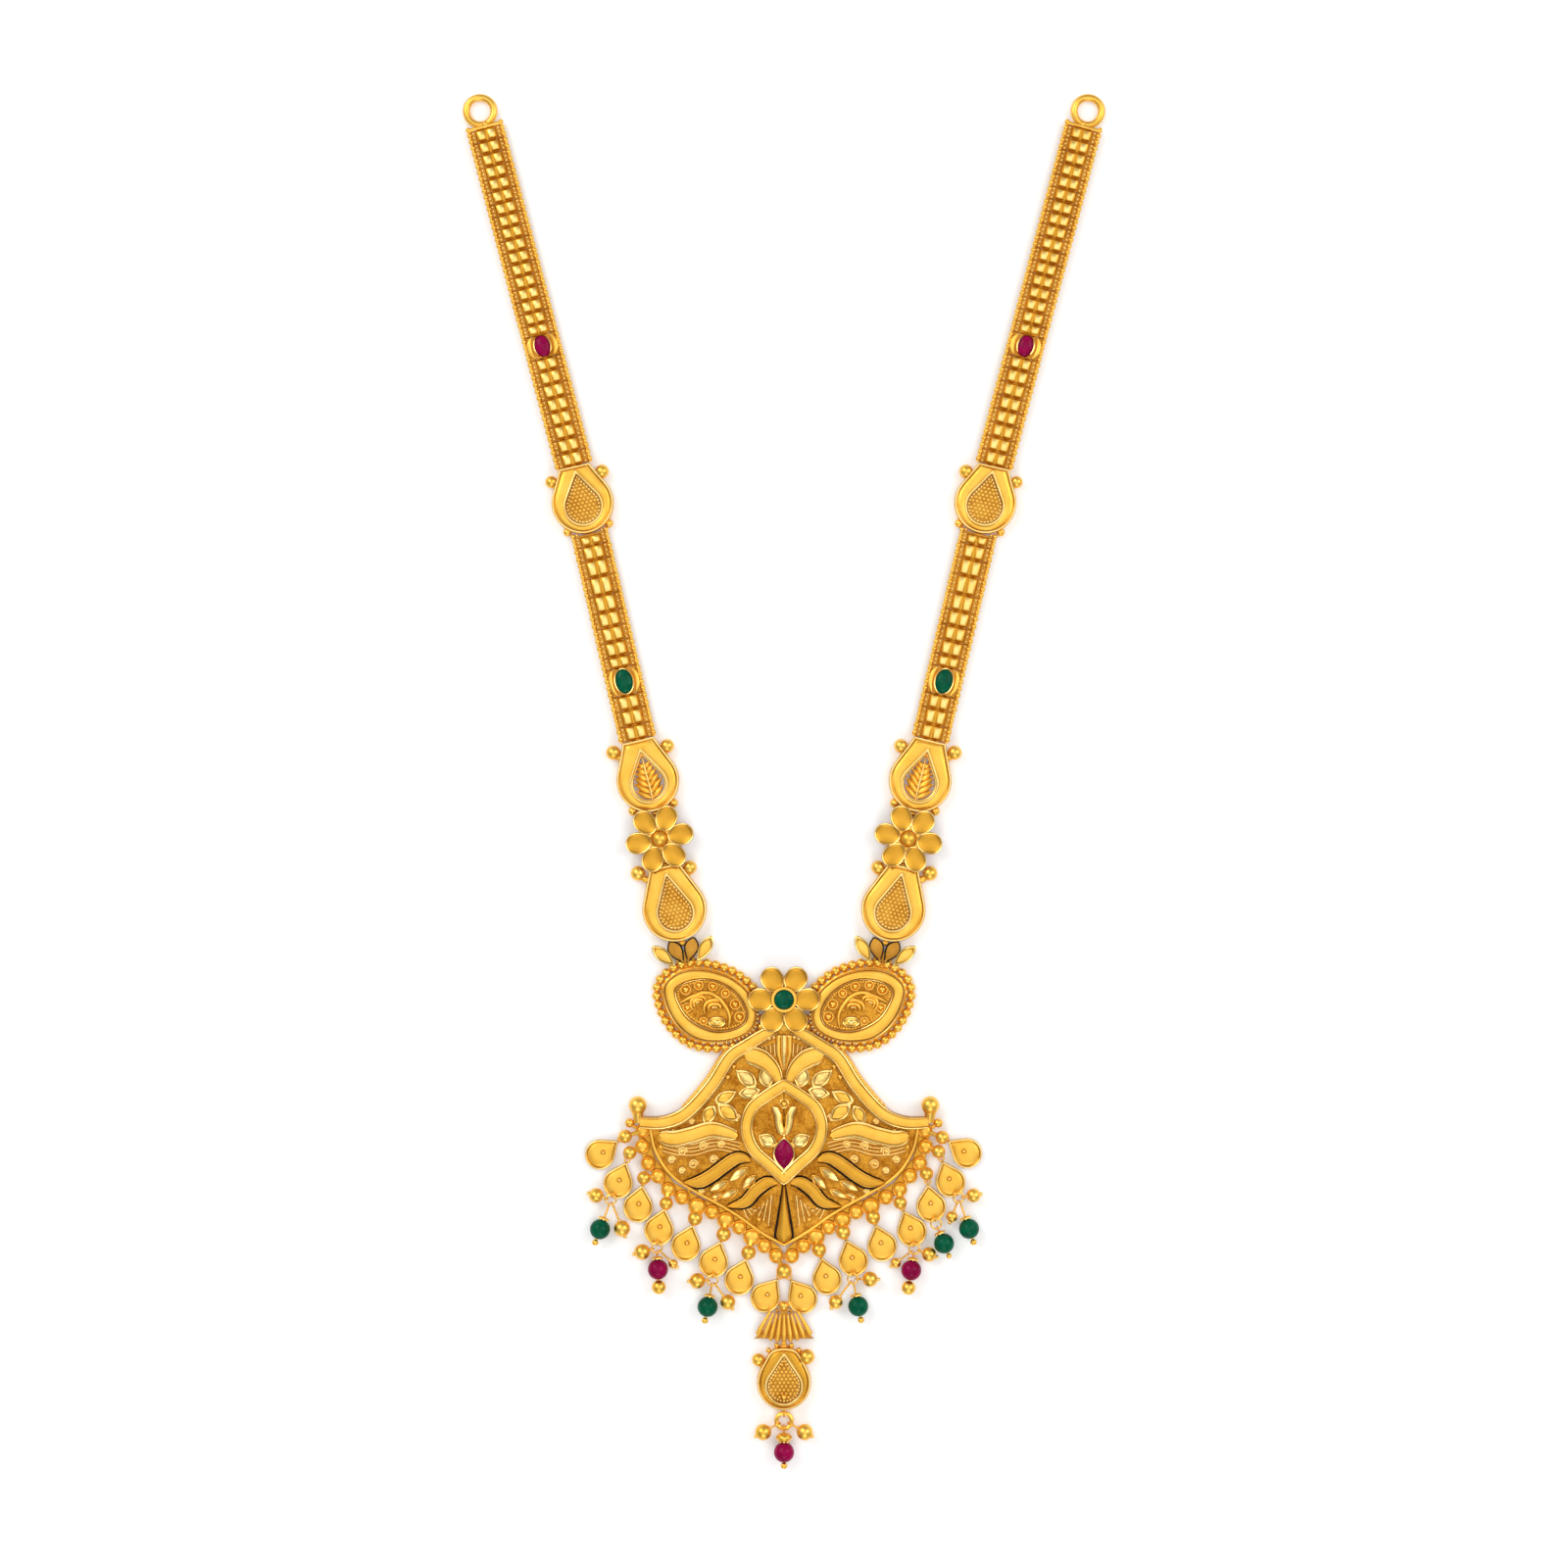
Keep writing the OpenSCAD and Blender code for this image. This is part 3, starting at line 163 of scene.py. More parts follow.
class NodeBoard:
    """The node tree of one material."""

    def __init__(self, name: str) -> None:
        """Makes an empty material with its output node.

        Args:
            name: The material's name.
        """
        self.material = bpy.data.materials.new(name)
        self.material.use_nodes = True
        self.tree = self.material.node_tree
        self.tree.nodes.clear()
        self.output = self.node("ShaderNodeOutputMaterial", {}, {})
        self.place = self.node("ShaderNodeTexCoord", {}, {}).outputs["Object"]

    def node(self, kind: str, settings: dict[str, Any], sockets: dict[Any, Any]) -> Any:
        """Adds one node, sets it and then fills its sockets.

        Args:
            kind: The node's type.
            settings: Attributes such as an operation, set before the sockets.
            sockets: Input name or number to a link, a Value or a plain value.

        Returns:
            The new node.
        """
        made = self.tree.nodes.new(kind)
        for key, value in settings.items():
            setattr(made, key, value)
        for key, value in sockets.items():
            source = value.socket if isinstance(value, Value) else value
            if isinstance(source, bpy.types.NodeSocket):
                self.tree.links.new(source, made.inputs[key])
            else:
                made.inputs[key].default_value = source
        return made

    def pattern(self, kind: str, size_mm: float, sockets: dict[str, float]) -> Value:
        """Returns a texture on Object coordinates whose grains or cells are about size_mm across."""
        made = self.node(kind, {}, {"Vector": self.place, "Scale": 1.0 / (size_mm * MM), **sockets})
        return Value(self, made.outputs[0])

    def noise(self, size_mm: float, detail: float = 2.0, rough: float = 0.5) -> Value:
        """Returns a noise from 0 to 1, with detail finer layers of strength rough."""
        return self.pattern("ShaderNodeTexNoise", size_mm, {"Detail": detail, "Roughness": rough})

    def mixed(self, factor: Value, first: Triple, second: Triple) -> Any:
        """Returns the first linear colour where the factor is 0 and the second where it is 1."""
        sockets = {0: factor, 6: (*first, 1.0), 7: (*second, 1.0)}
        return self.node("ShaderNodeMix", {"data_type": "RGBA"}, sockets).outputs[2]

    def bump(self, height: Value, depth_mm: float) -> Any:
        """Returns the normal of a height from 0 to 1 that stands for a depth."""
        return self.node("ShaderNodeBump", {}, {"Height": height, "Distance": depth_mm * MM}).outputs[0]

    def shaded(self, sockets: dict[str, Any]) -> Any:
        """Ends the tree in one Principled shader.

        Args:
            sockets: The shader's inputs.

        Returns:
            The material.
        """
        shader = self.node("ShaderNodeBsdfPrincipled", {}, sockets)
        self.tree.links.new(shader.outputs[0], self.output.inputs[0])
        return self.material


@dataclass(frozen=True)
class Recipe:
    """What every finish states: its two colours and how rough it is."""

    light: Triple
    deep: Triple
    roughness: float

    def sockets(self, board: NodeBoard) -> dict[str, Any]:
        """Returns the shader's inputs, for a recipe to state."""
        raise NotImplementedError


@dataclass(frozen=True)
class GoldFinish(Recipe):
    """Plain gold, satin or polished, also as lighter copies for painted highlights and darker copies for painted
    shade, with a fine grain and a slow change of colour.
    """

    spread: float
    grain_mm: float
    grain_depth_mm: float

    def sockets(self, board: NodeBoard) -> dict[str, Any]:
        """Mixes the two golds by a slow noise, and roughens and bumps them by a fine one.

        Args:
            board: The board that the nodes go on.

        Returns:
            The shader's inputs.
        """
        slow, fine = board.noise(2.6, 3.0), board.noise(self.grain_mm, 2.0, 0.6)
        return {
            "Base Color": board.mixed(slow.clipped(0.35, 0.7), self.light, self.deep),
            "Metallic": 1.0,
            "Roughness": self.roughness + self.spread * (fine - 0.5),
            "Normal": board.bump(fine, self.grain_depth_mm),
        }


@dataclass(frozen=True)
class GroundFinish(Recipe):
    """Gold struck with rows of small grains, its darker gold a painted shade of the sunk ground, darkest in
    painted shade where the grains join.
    """

    cell_mm: float
    depth_mm: float

    def sockets(self, board: NodeBoard) -> dict[str, Any]:
        """Makes each cell a round grain, with a painted highlight on top and painted shade at its edge, under
        slow clouds.

        Args:
            board: The board that the nodes go on.

        Returns:
            The shader's inputs.
        """
        grain = 1.0 - board.pattern("ShaderNodeTexVoronoi", self.cell_mm, {}).clipped(0.15, 0.75)
        slow = board.noise(2.4, 3.0).clipped(0.38, 0.62)
        return {
            "Base Color": board.mixed((grain * 0.4 + slow * 0.6).clipped(0.05, 0.95), self.deep, self.light),
            "Metallic": 1.0,
            "Roughness": self.roughness + 0.12 * (1.0 - grain),
            "Normal": board.bump(grain, self.depth_mm),
        }


@dataclass(frozen=True)
class EnamelFinish(Recipe):
    """Near-black painted shade for narrow grooves and outlines, a little brown in patches."""

    def sockets(self, board: NodeBoard) -> dict[str, Any]:
        """Turns the black a little brown in patches by a noise, and dulls it by the same noise.

        Args:
            board: The board that the nodes go on.

        Returns:
            The shader's inputs.
        """
        brown_patches = board.noise(0.7, 3.0).clipped(0.45, 0.8)
        return {
            "Base Color": board.mixed(brown_patches, self.deep, self.light),
            "Metallic": 0.0,
            "Roughness": self.roughness + 0.2 * brown_patches,
            "Specular IOR Level": 0.12,
            "Normal": board.bump(board.noise(0.3), 0.01),
        }


@dataclass(frozen=True)
class StoneFinish(Recipe):
    """A polished opaque stone with soft clouds inside."""

    def sockets(self, board: NodeBoard) -> dict[str, Any]:
        """Mixes the two colours by slow clouds, which also bend the gloss a little.

        Args:
            board: The board that the nodes go on.

        Returns:
            The shader's inputs.
        """
        cloud, haze = board.noise(1.9, 3.0, 0.6), board.noise(0.5, 2.0)
        return {
            "Base Color": board.mixed(cloud.clipped(0.35, 0.75), self.deep, self.light),
            "Roughness": self.roughness + 0.08 * haze,
            "IOR": 1.5,
            "Specular IOR Level": 0.1,
            "Normal": board.bump(cloud, 0.015),
        }


RECIPES: dict[Finish, Recipe] = {
    SATIN: GoldFinish((0.97, 0.57, 0.095), (0.93, 0.50, 0.065), 0.4, 0.12, 0.22, 0.01),
    POLISHED: GoldFinish((0.98, 0.60, 0.115), (0.93, 0.51, 0.07), 0.36, 0.08, 0.6, 0.004),
    # Painted highlight: the same gold made lighter
    PALE: GoldFinish((1.0, 0.74, 0.27), (1.0, 0.64, 0.17), 0.28, 0.08, 0.3, 0.006),
    # Painted shade: the satin gold made darker
    AMBER: GoldFinish((0.76, 0.39, 0.042), (0.70, 0.34, 0.032), 0.4, 0.12, 0.22, 0.012),
    # Painted shade: the gold made dark
    BRONZE: GoldFinish((0.62, 0.30, 0.045), (0.42, 0.17, 0.02), 0.38, 0.1, 0.25, 0.012),
    # Painted shade: the struck ground is a darker gold, darkest where the grains join
    GROUND: GroundFinish((0.80, 0.38, 0.04), (0.40, 0.14, 0.009), 0.38, 0.45, 0.03),
    # Painted shade: near black
    ENAMEL: EnamelFinish((0.05, 0.025, 0.008), (0.006, 0.005, 0.004), 0.55),
    RUBY: StoneFinish((0.36, 0.001, 0.072), (0.20, 0.0005, 0.036), 0.16),
    EMERALD: StoneFinish((0.0, 0.125, 0.058), (0.0, 0.065, 0.03), 0.14),
}


@functools.cache
def material(finish: Finish) -> Any:
    """Returns a finish's material, built at its first use."""
    board = NodeBoard(finish.value)
    return board.shaded(RECIPES[finish].sockets(board))


# Places and outlines


@dataclass(frozen=True)
class Place:
    """A spot that points are carried to: turned or mirrored in the plane, then moved."""

    matrix: Line = ((1.0, 0.0), (0.0, 1.0))
    spot: Pair = (0.0, 0.0)

    def at(self, x: float, y: float, turn: float) -> "Place":
        """Returns the place inside this one that is moved by x and y, and turned in degrees."""
        outer, (cos, sin) = np.array(self.matrix), facing(turn)
        return Place(tuple(map(tuple, outer @ [[cos, -sin], [sin, cos]])), tuple(self.spot + outer @ [x, y]))

    def carry(self, points: Array) -> Array:
        """Returns the points (..., 3) moved to this place."""
        flat = points[..., :2] @ np.array(self.matrix).T + self.spot
        return np.concatenate([flat, points[..., 2:]], axis=-1)

    @property
    def mirrored(self) -> bool:
        """Tells whether the place turns shapes inside out."""
        return float(np.linalg.det(np.array(self.matrix))) < 0


LEFT = Place()
RIGHT = Place(((-1.0, 0.0), (0.0, 1.0)))


class Side(Enum):
    """The two halves of the necklace, as the photograph shows them."""

    LEFT = "left"
    RIGHT = "right"

    @property
    def place(self) -> Place:
        """Returns the place that the left half's shapes are carried to."""
        return LEFT if self is Side.LEFT else RIGHT


def pts(values: Any) -> Array:
    """Returns the values as an array of floats."""
    return np.asarray(values, dtype=float)


def stacked(*parts: Any) -> Array:
    """Returns arrays or numbers side by side, as the last axis of one array."""
    return np.stack(np.broadcast_arrays(*parts), axis=-1)


def facing(angle: float) -> Array:
    """Returns the unit vector at an angle in degrees from +X."""
    return np.array([math.cos(math.radians(angle)), math.sin(math.radians(angle))])


def unit(vectors: Array) -> Array:
    """Returns the vectors at length 1, one a row."""
    return vectors / np.maximum(np.linalg.norm(vectors, axis=-1, keepdims=True), TINY)


def rounds(count: int) -> Array:
    """Returns equal angles round a full turn, in radians."""
    return np.linspace(0, TURN, count, endpoint=False)


def quarter(count: int, reach: float, rise: float, foot: float) -> Array:
    """Returns a quarter ellipse from its foot at a radius up to the middle line."""
    bow = np.linspace(0, math.pi / 2, count)
    return stacked(reach * np.cos(bow), foot + rise * np.sin(bow))


def raised(path: Array, z: Any) -> Array:
    """Returns a flat path's points with a height, one or one a point."""
    return np.column_stack([path, np.broadcast_to(z, len(path))])


def mix(first: Array, second: Array, share: float) -> Array:
    """Returns the points a share of the way from the first to the second."""
    return first * (1 - share) + second * share


def polar(point: Point, length: float, angle: float) -> Array:
    """Returns the point at a length and an angle in degrees from another."""
    return pts(point)[:2] + length * facing(angle)


def ahead(point: Point, lean: float, length: float) -> Array:
    """Returns the point a length down a line that leans from the vertical, in degrees."""
    return polar(point, length, lean - 90)


def heading(start: Point, end: Point) -> float:
    """Returns the angle in degrees from one point to another."""
    return math.degrees(math.atan2(end[1] - start[1], end[0] - start[0]))


def lengths(path: Array) -> Array:
    """Returns the length gone along a path at each of its points."""
    return np.concatenate([[0.0], np.cumsum(np.linalg.norm(np.diff(path, axis=0), axis=1))])


def read_off(path: Array, want: Array) -> Array:
    """Returns the points at given lengths along a path."""
    gone = lengths(path)
    return stacked(*(np.interp(want, gone, column) for column in path.T))


def smooth_path(points: Any, steps: int = 6, closed: bool = False) -> Array:
    """Draws a Catmull-Rom curve: each stretch is the cubic through its four nearest points.

    Args:
        points: The points that the curve goes through.
        steps: The number of new points a stretch.
        closed: Whether the last point joins the first.

    Returns:
        The curve's points.
    """
    given = pts(points)
    count = len(given)
    index = np.arange(count if closed else count - 1)
    corners = [given[(index + k) % count if closed else np.clip(index + k, 0, count - 1)]
               for k in (-1, 0, 1, 2)]
    a, b, c, d = (corner[:, None, :] for corner in corners)
    t = (np.arange(steps) / steps)[None, :, None]
    curve = 0.5 * (2 * b + (c - a) * t + (2 * a - 5 * b + 4 * c - d) * t**2
                   + (3 * b - a - 3 * c + d) * t**3)
    curve = curve.reshape(-1, given.shape[1])
    return curve if closed else np.vstack([curve, given[-1]])


def sides_of(path: Array, closed: bool = False) -> Array:
    """Gives the unit vector to the left of a flat path at each point.

    Args:
        path: The path's points.
        closed: Whether the last point joins the first.

    Returns:
        The side vectors.
    """
    step = np.roll(path, -1, 0) - np.roll(path, 1, 0) if closed else np.gradient(path, axis=0)
    step = unit(step[:, :2])
    return stacked(-step[:, 1], step[:, 0])


def evened(path: Array, count: int, closed: bool = False) -> Array:
    """Returns points spread evenly along a path by its length."""
    line = np.vstack([path, path[:1]]) if closed else path
    return read_off(line, np.linspace(0.0, lengths(line)[-1], count, endpoint=not closed))


def mirror_closed(half: Array) -> Array:
    """Returns the closed outline of a half, from the top to the foot, and its mirror image."""
    return np.vstack([half, (half[1:-1] * [-1, 1])[::-1]])


def turned_left(outline: Array) -> Array:
    """Returns a closed outline counterclockwise, by the sign of its area."""
    x, y = outline.T
    return outline if np.sum(x * np.roll(y, -1) - y * np.roll(x, -1)) > 0 else outline[::-1]


def inset(outline: Array, width: float) -> Array:
    """Returns a counterclockwise outline moved inwards by a width."""
    return outline + sides_of(outline, closed=True) * width


def inside(points: Array, outline: Array) -> Array:
    """Tells which points lie inside: a ray to +X crosses the outline an odd number of times.

    Args:
        points: The points, one row each.
        outline: The closed outline.

    Returns:
        True for each point inside.
    """
    start, end = outline, np.roll(outline, -1, axis=0)
    x, y = points[:, None, 0], points[:, None, 1]
    over = (start[None, :, 1] > y) != (end[None, :, 1] > y)
    rise = np.where(end[:, 1] == start[:, 1], TINY, end[:, 1] - start[:, 1])[None]
    cut = start[None, :, 0] + (y - start[None, :, 1]) * (end - start)[None, :, 0] / rise
    return (over & (x < cut)).sum(axis=1) % 2 == 1


def radial(outline: Array, centre: Point, count: int = 96) -> Array:
    """Reads a round outline at equal angles about a point.

    Args:
        outline: A closed outline that each ray from the centre crosses once.
        centre: The point.
        count: The number of rays.

    Returns:
        The crossings, counterclockwise from -X.
    """
    line = evened(outline, READINGS, closed=True) - pts(centre)
    angle = np.arctan2(line[:, 1], line[:, 0])
    order = np.argsort(angle)
    want = np.linspace(-math.pi, math.pi, count, endpoint=False)
    reach = np.interp(want, angle[order], np.linalg.norm(line, axis=1)[order], period=TURN)
    return pts(centre) + reach[:, None] * stacked(np.cos(want), np.sin(want))


def rect(x: Point, y: Point) -> Array:
    """Returns the counterclockwise rectangle between two x and two y values."""
    return pts([(x[0], y[0]), (x[1], y[0]), (x[1], y[1]), (x[0], y[1])])


def ellipse(length: float, width: float, count: int = 32) -> Array:
    """Returns a counterclockwise ellipse with its length along Y."""
    turn = rounds(count)
    return stacked(width / 2 * np.cos(turn), length / 2 * np.sin(turn))


def lens(length: float, width: float, count: int = 40) -> Array:
    """Returns an outline with two tips, whose half width falls as 1 less the squared height."""
    t = np.linspace(-1, 1, count // 2, endpoint=False)
    return np.kron([[1], [-1]], stacked(width / 2 * (1 - t**2), length / 2 * t))


def leaf(length: float, width: float, count: int = 32, full: float = 0.85, plump: float = 1.0) -> Array:
    """Draws a leaf from its root at the origin: the half width follows a power of a sine.

    Args:
        length: The size along Y, root to tip.
        width: The size along X.
        count: The number of points.
        full: The power of the height, which moves the widest part to the tip as it grows.
        plump: The power of the sine, which rounds both ends as it falls below 1.

    Returns:
        The outline, counterclockwise from the root.
    """
    t = (1 - np.cos(np.linspace(0, math.pi, count // 2 + 1))) / 2
    half_width = width / 2 * np.clip(np.sin(math.pi * t**full), 0, 1) ** plump
    right = stacked(half_width, length * t)
    return np.vstack([right[:-1], (right * [-1, 1])[:0:-1]])


def drop(radius: float, top_y: float, top_half: float, lift: float = 0.0) -> Array:
    """Draws a round foot whose straight tangents rise to a flat or pointed top.

    Args:
        radius: The radius of the foot, whose centre is the origin.
        top_y: The height of the top.
        top_half: Half the width of the top.
        lift: A move of the whole outline along Y.

    Returns:
        The outline, counterclockwise from the middle of the top.
    """
    start = math.atan2(top_y, top_half) - math.acos(min(1.0, radius / math.hypot(top_half, top_y)))
    arc = np.linspace(math.pi - start, TURN + start, 37)
    foot = radius * stacked(np.cos(arc), np.sin(arc))
    corner = np.array([-top_half, top_y])
    top = mix(np.array([0.0, top_y]), corner, np.linspace(0, 1, 3, endpoint=False)[:, None])
    side = mix(corner, foot[0], np.linspace(0, 1, 9, endpoint=False)[:, None])
    left = np.vstack([top, side])
    return np.vstack([left, foot, (left[1:] * [-1, 1])[::-1]]) + [0.0, lift]


def along(length: int, first: float, last: float) -> Array:
    """Gives widths along a ribbon that swell by a quarter sine from each end to 1.

    Args:
        length: The number of points.
        first: The share of the width at the start.
        last: The share of the width at the end.

    Returns:
        One share a point.
    """
    t = np.linspace(0, 1, length)
    rise, fall = (end + (1 - end) * np.sin(math.pi / 2 * np.clip(near / 0.35, 0, 1))
                  for end, near in ((first, t), (last, 1 - t)))
    return np.minimum(rise, fall)


def rounded(path: Array, width: Any) -> Array:
    """Rounds a ribbon's two ends: near an end the half width is that of a circle that touches it.

    Args:
        path: The ribbon's middle line.
        width: The full width, one or one a point.

    Returns:
        The rounded width at each point.
    """
    wide = np.broadcast_to(pts(width), (len(path),))
    gone = lengths(path[:, :2])
    near = np.minimum(gone, gone[-1] - gone)
    bow = 2 * np.sqrt(np.maximum(near * (wide - near), 0.0))
    return np.maximum(np.where(near < wide / 2, bow, wide), 0.05)


# Meshes


def linked(name: str, data: Any) -> Any:
    """Makes an object of the scene.

    Args:
        name: The object's name.
        data: Its mesh, lamp or camera.

    Returns:
        The new object.
    """
    made = bpy.data.objects.new(name, data)
    bpy.context.scene.collection.objects.link(made)
    return made


@dataclass(frozen=True)
class Profile:
    """A closed profile from its left foot over the top to its right foot, with a finish a side."""

    points: Line
    finishes: tuple[Finish, ...]

    @staticmethod
    def domed(finish: Finish, rise: float, wall: Finish) -> "Profile":
        """Returns a flat foot, short walls and a round top that takes a share of the height."""
        top = [(-math.cos(a), 1 - rise + rise * math.sin(a)) for a in np.linspace(0, math.pi, 7)]
        return Profile(((-1.0, 0.0), *top, (1.0, 0.0)), (wall, *[finish] * 6, wall, wall))

    @staticmethod
    def rimmed(middle: Finish, rim: Finish, edge: float, sink: float) -> "Profile":
        """Gives a band with a round wire along each edge and a crowned middle below the wires.

        Args:
            middle: The finish of the middle.
            rim: The finish of the wires.
            edge: The width of a wire as a share of the half width.
            sink: How far the middle's edge lies below the wires, as a share of the height.

        Returns:
            The profile.
        """
        left = [(-1.0, 0.0), (-1.0, 0.85), (-0.94, 0.97), (-0.94 + edge * 0.6, 1.0),
                (-0.94 + edge, 1 - sink * 0.7), (-0.76 + edge, 1 - sink), (-0.35, 1 - sink * 0.35),
                (0.0, 1 - sink * 0.2)]
        # Painted shade on the walls, the underside and the line between each wire and the middle
        half = (BRONZE, BRONZE, rim, rim, BRONZE, middle, middle)
        return Profile((*left, *((-x, y) for x, y in left[-2::-1])), (*half, *half[::-1], BRONZE))


class Shape:
    """Collects surfaces in millimetres and writes them to one mesh."""

    def __init__(self, name: str) -> None:
        """Starts an empty shape in the part's own frame.

        Args:
            name: The piece's name.
        """
        self.name = name
        self.place = LEFT
        self.points: list[Array] = []
        self.loops: list[Array] = []
        self.sizes: list[Array] = []
        self.looks: list[Array] = []
        self.finishes: dict[Finish, int] = {}

    def on(self, place: Place) -> Self:
        """Gives this same shape with its next surfaces carried to a place.

        Args:
            place: The place.

        Returns:
            The shape, which shares its surfaces with this one.
        """
        view = copy.copy(self)
        view.place = place
        return view

    def at(self, x: float, y: float, turn: float = 0.0) -> Self:
        """Returns this same shape moved, and turned in degrees, inside its own place."""
        return self.on(self.place.at(x, y, turn))

    def _index(self, finish: Finish) -> int:
        """Returns the number of a finish's material slot, made at its first use."""
        return self.finishes.setdefault(finish, len(self.finishes))

    def _faces(self, faces: Array, looks: Any) -> None:
        """Stores faces of one size, before the points that they join.

        Args:
            faces: The corner numbers, one row a face.
            looks: The finish number, one or one a face.
        """
        if len(faces):
            turned = faces[:, ::-1] if self.place.mirrored else faces
            self.loops.append((turned + sum(map(len, self.points))).ravel())
            self.sizes.append(np.full(len(faces), faces.shape[1]))
            self.looks.append(np.broadcast_to(looks, len(faces)))

    def grid(self, points: Array, finish: Finishes, around: bool = False, across: bool = False) -> None:
        """Adds a surface of two parameters as four-sided faces, with equal points joined.

        Args:
            points: The points, as an array (u, v, 3) with u times v pointing outwards.
            finish: One finish, or one for each strip of v.
            around: Whether u closes on itself.
            across: Whether v closes on itself.
        """
        rows, columns = points.shape[:2]
        i = np.arange(rows if around else rows - 1)[:, None]
        j = np.arange(columns if across else columns - 1)[None, :]
        i2, j2 = (i + 1) % rows, (j + 1) % columns
        corners = (i * columns + j, i2 * columns + j, i2 * columns + j2, i * columns + j2)
        quads = stacked(*corners).reshape(-1, 4)
        strips = [finish] * j.size if isinstance(finish, Finish) else finish
        looks = np.tile([self._index(one) for one in strips], i.size)
        flat = points.reshape(-1, 3)
        _, first, same = np.unique(np.round(flat * JOINS_PER_MM), axis=0, return_index=True, return_inverse=True)
        quads = same.ravel()[quads]
        twin = quads == np.roll(quads, -1, axis=1)
        twins = twin.sum(axis=1)
        self._faces(quads[twins == 0], looks[twins == 0])
        self._faces(quads[twins == 1][~twin[twins == 1]].reshape(-1, 3), looks[twins == 1])
        self.points.append(self.place.carry(flat[first]))

    def slab(self, outline: Array, z: Point, finish: Finish) -> None:
        """Adds a flat plate: a many-sided face below and above, joined by a wall.

        Args:
            outline: The counterclockwise outline.
            z: The lowest and highest heights.
            finish: The finish of the upper face. The rest is satin.
        """
        count = len(outline)
        k = np.arange(count)
        k2 = (k + 1) % count
        satin = self._index(SATIN)
        self._faces(k[None] + count, self._index(finish))
        self._faces(k[None, ::-1], satin)
        self._faces(stacked(k, k2, k2 + count, k + count), satin)
        self.points.append(self.place.carry(np.vstack([raised(outline, height) for height in z])))

    def loft(self, outlines: Sequence[Array], heights: Point, finish: Finishes) -> None:
        """Joins counterclockwise outlines, or points at the ends, from the foot over to the middle."""
        layers = [raised(np.broadcast_to(one, outlines[1].shape), z) for one, z in zip(outlines, heights)]
        self.grid(np.stack(layers, axis=1), finish, around=True)

    def mound(self, outline: Array, bottom: float, rim: float, top: float, finish: Finish,
              wall: Optional[Finish] = None, middle: Optional[Point] = None) -> None:
        """Fills an outline with a dome: the height falls as the squared distance from its middle.

        Args:
            outline: The counterclockwise outline.
            bottom: The height of the flat underside.
            rim: The height at the outline.
            top: The height at the middle.
            finish: The finish of the crown.
            wall: The finish of the wall and the underside.
            middle: The middle, or None for the outline's own.
        """
        centre = outline.mean(axis=0) if middle is None else pts(middle)
        share = np.linspace(1, 0, 6)
        rings = [centre, outline] + [mix(centre, outline, s) for s in share]
        heights = [bottom, bottom, *(rim + (top - rim) * (1 - share**2))]
        self.loft(rings, heights, [wall or finish] * 2 + [finish] * 5)

    def lathe(self, profile: Any, centre: Point, finish: Finishes = SATIN, steps: int = 20,
              squash: Point = (1.0, 1.0)) -> None:
        """Turns a profile about a vertical line.

        Args:
            profile: Radius and height pairs, from the bottom outwards and over to the top.
            centre: The line's x and y, and the height that the profile starts from.
            finish: One finish, or one for each step of the profile.
            steps: The number of points round.
            squash: Factors on X and Y.
        """
        reach, rise = pts(profile).T
        turn = rounds(steps)[:, None]
        points = stacked(reach * np.cos(turn) * squash[0], reach * np.sin(turn) * squash[1], rise)
        self.grid(points + pts(centre), finish, around=True)

    def ball(self, centre: Point, radius: float, finish: Finish = SATIN, steps: int = 20) -> None:
        """Adds a ball: a half circle turned about the vertical, with steps points round."""
        bow = np.linspace(-math.pi / 2, math.pi / 2, steps // 2 + 1)
        self.lathe(radius * stacked(np.cos(bow), np.sin(bow)), centre, finish, steps)

    def balls(self, centres: Any, radius: float, finish: Finish, steps: int) -> None:
        """Adds equal balls at the centres, one row each."""
        for centre in pts(centres):
            self.ball(centre, radius, finish, steps)

    def tube(self, path: Any, radius: Any, finish: Finish = SATIN, sides: int = 8) -> None:
        """Carries a circle along a path, square to it, and closes its ends.

        Args:
            path: The points of the path, in space.
            radius: One radius, or one a point.
            finish: Its finish.
            sides: The number of points round the circle.
        """
        line = pts(path)
        step = unit(np.gradient(line, axis=0))
        upright = np.abs(step[:, 2]).max() > STEEP
        side = unit(np.cross([1.0, 0.0, 0.0] if upright else [0.0, 0.0, 1.0], step))
        size = np.broadcast_to(pts(radius), (len(line),))[:, None]
        turn = rounds(sides)[None, :, None]
        rings = line[:, None] + (size * side)[:, None] * np.cos(turn)
        rings = rings + (size * np.cross(side, step))[:, None] * np.sin(turn)
        ends = line[[0, -1], None] + rings[:2] * 0
        self.grid(np.concatenate([ends[:1], rings, ends[1:]]), finish, across=True)

    def ring(self, centre: Point, radius: float, wire: float, finish: Finish = SATIN,
             standing: Optional[float] = None, steps: int = 14, sides: int = 6) -> None:
        """Adds a wire ring, flat or standing on edge.

        Args:
            centre: The middle of the ring.
            radius: The radius to the middle of the wire.
            wire: The wire's radius.
            finish: Its finish.
            standing: The heading of a standing ring's plane in degrees, or None for a flat ring.
            steps: The number of points round the ring.
            sides: The number of points round the wire.
        """
        turn, roll = rounds(steps)[:, None], rounds(sides)
        out = radius + wire * np.cos(roll)
        x, y, lift = out * np.cos(turn), out * np.sin(turn), wire * np.sin(roll)
        if standing is None:
            points = stacked(x, y, lift)
        else:
            cos, sin = facing(standing)
            points = stacked(x * cos + lift * sin, x * sin - lift * cos, y)
        self.grid(points + pts(centre), finish, around=True, across=True)

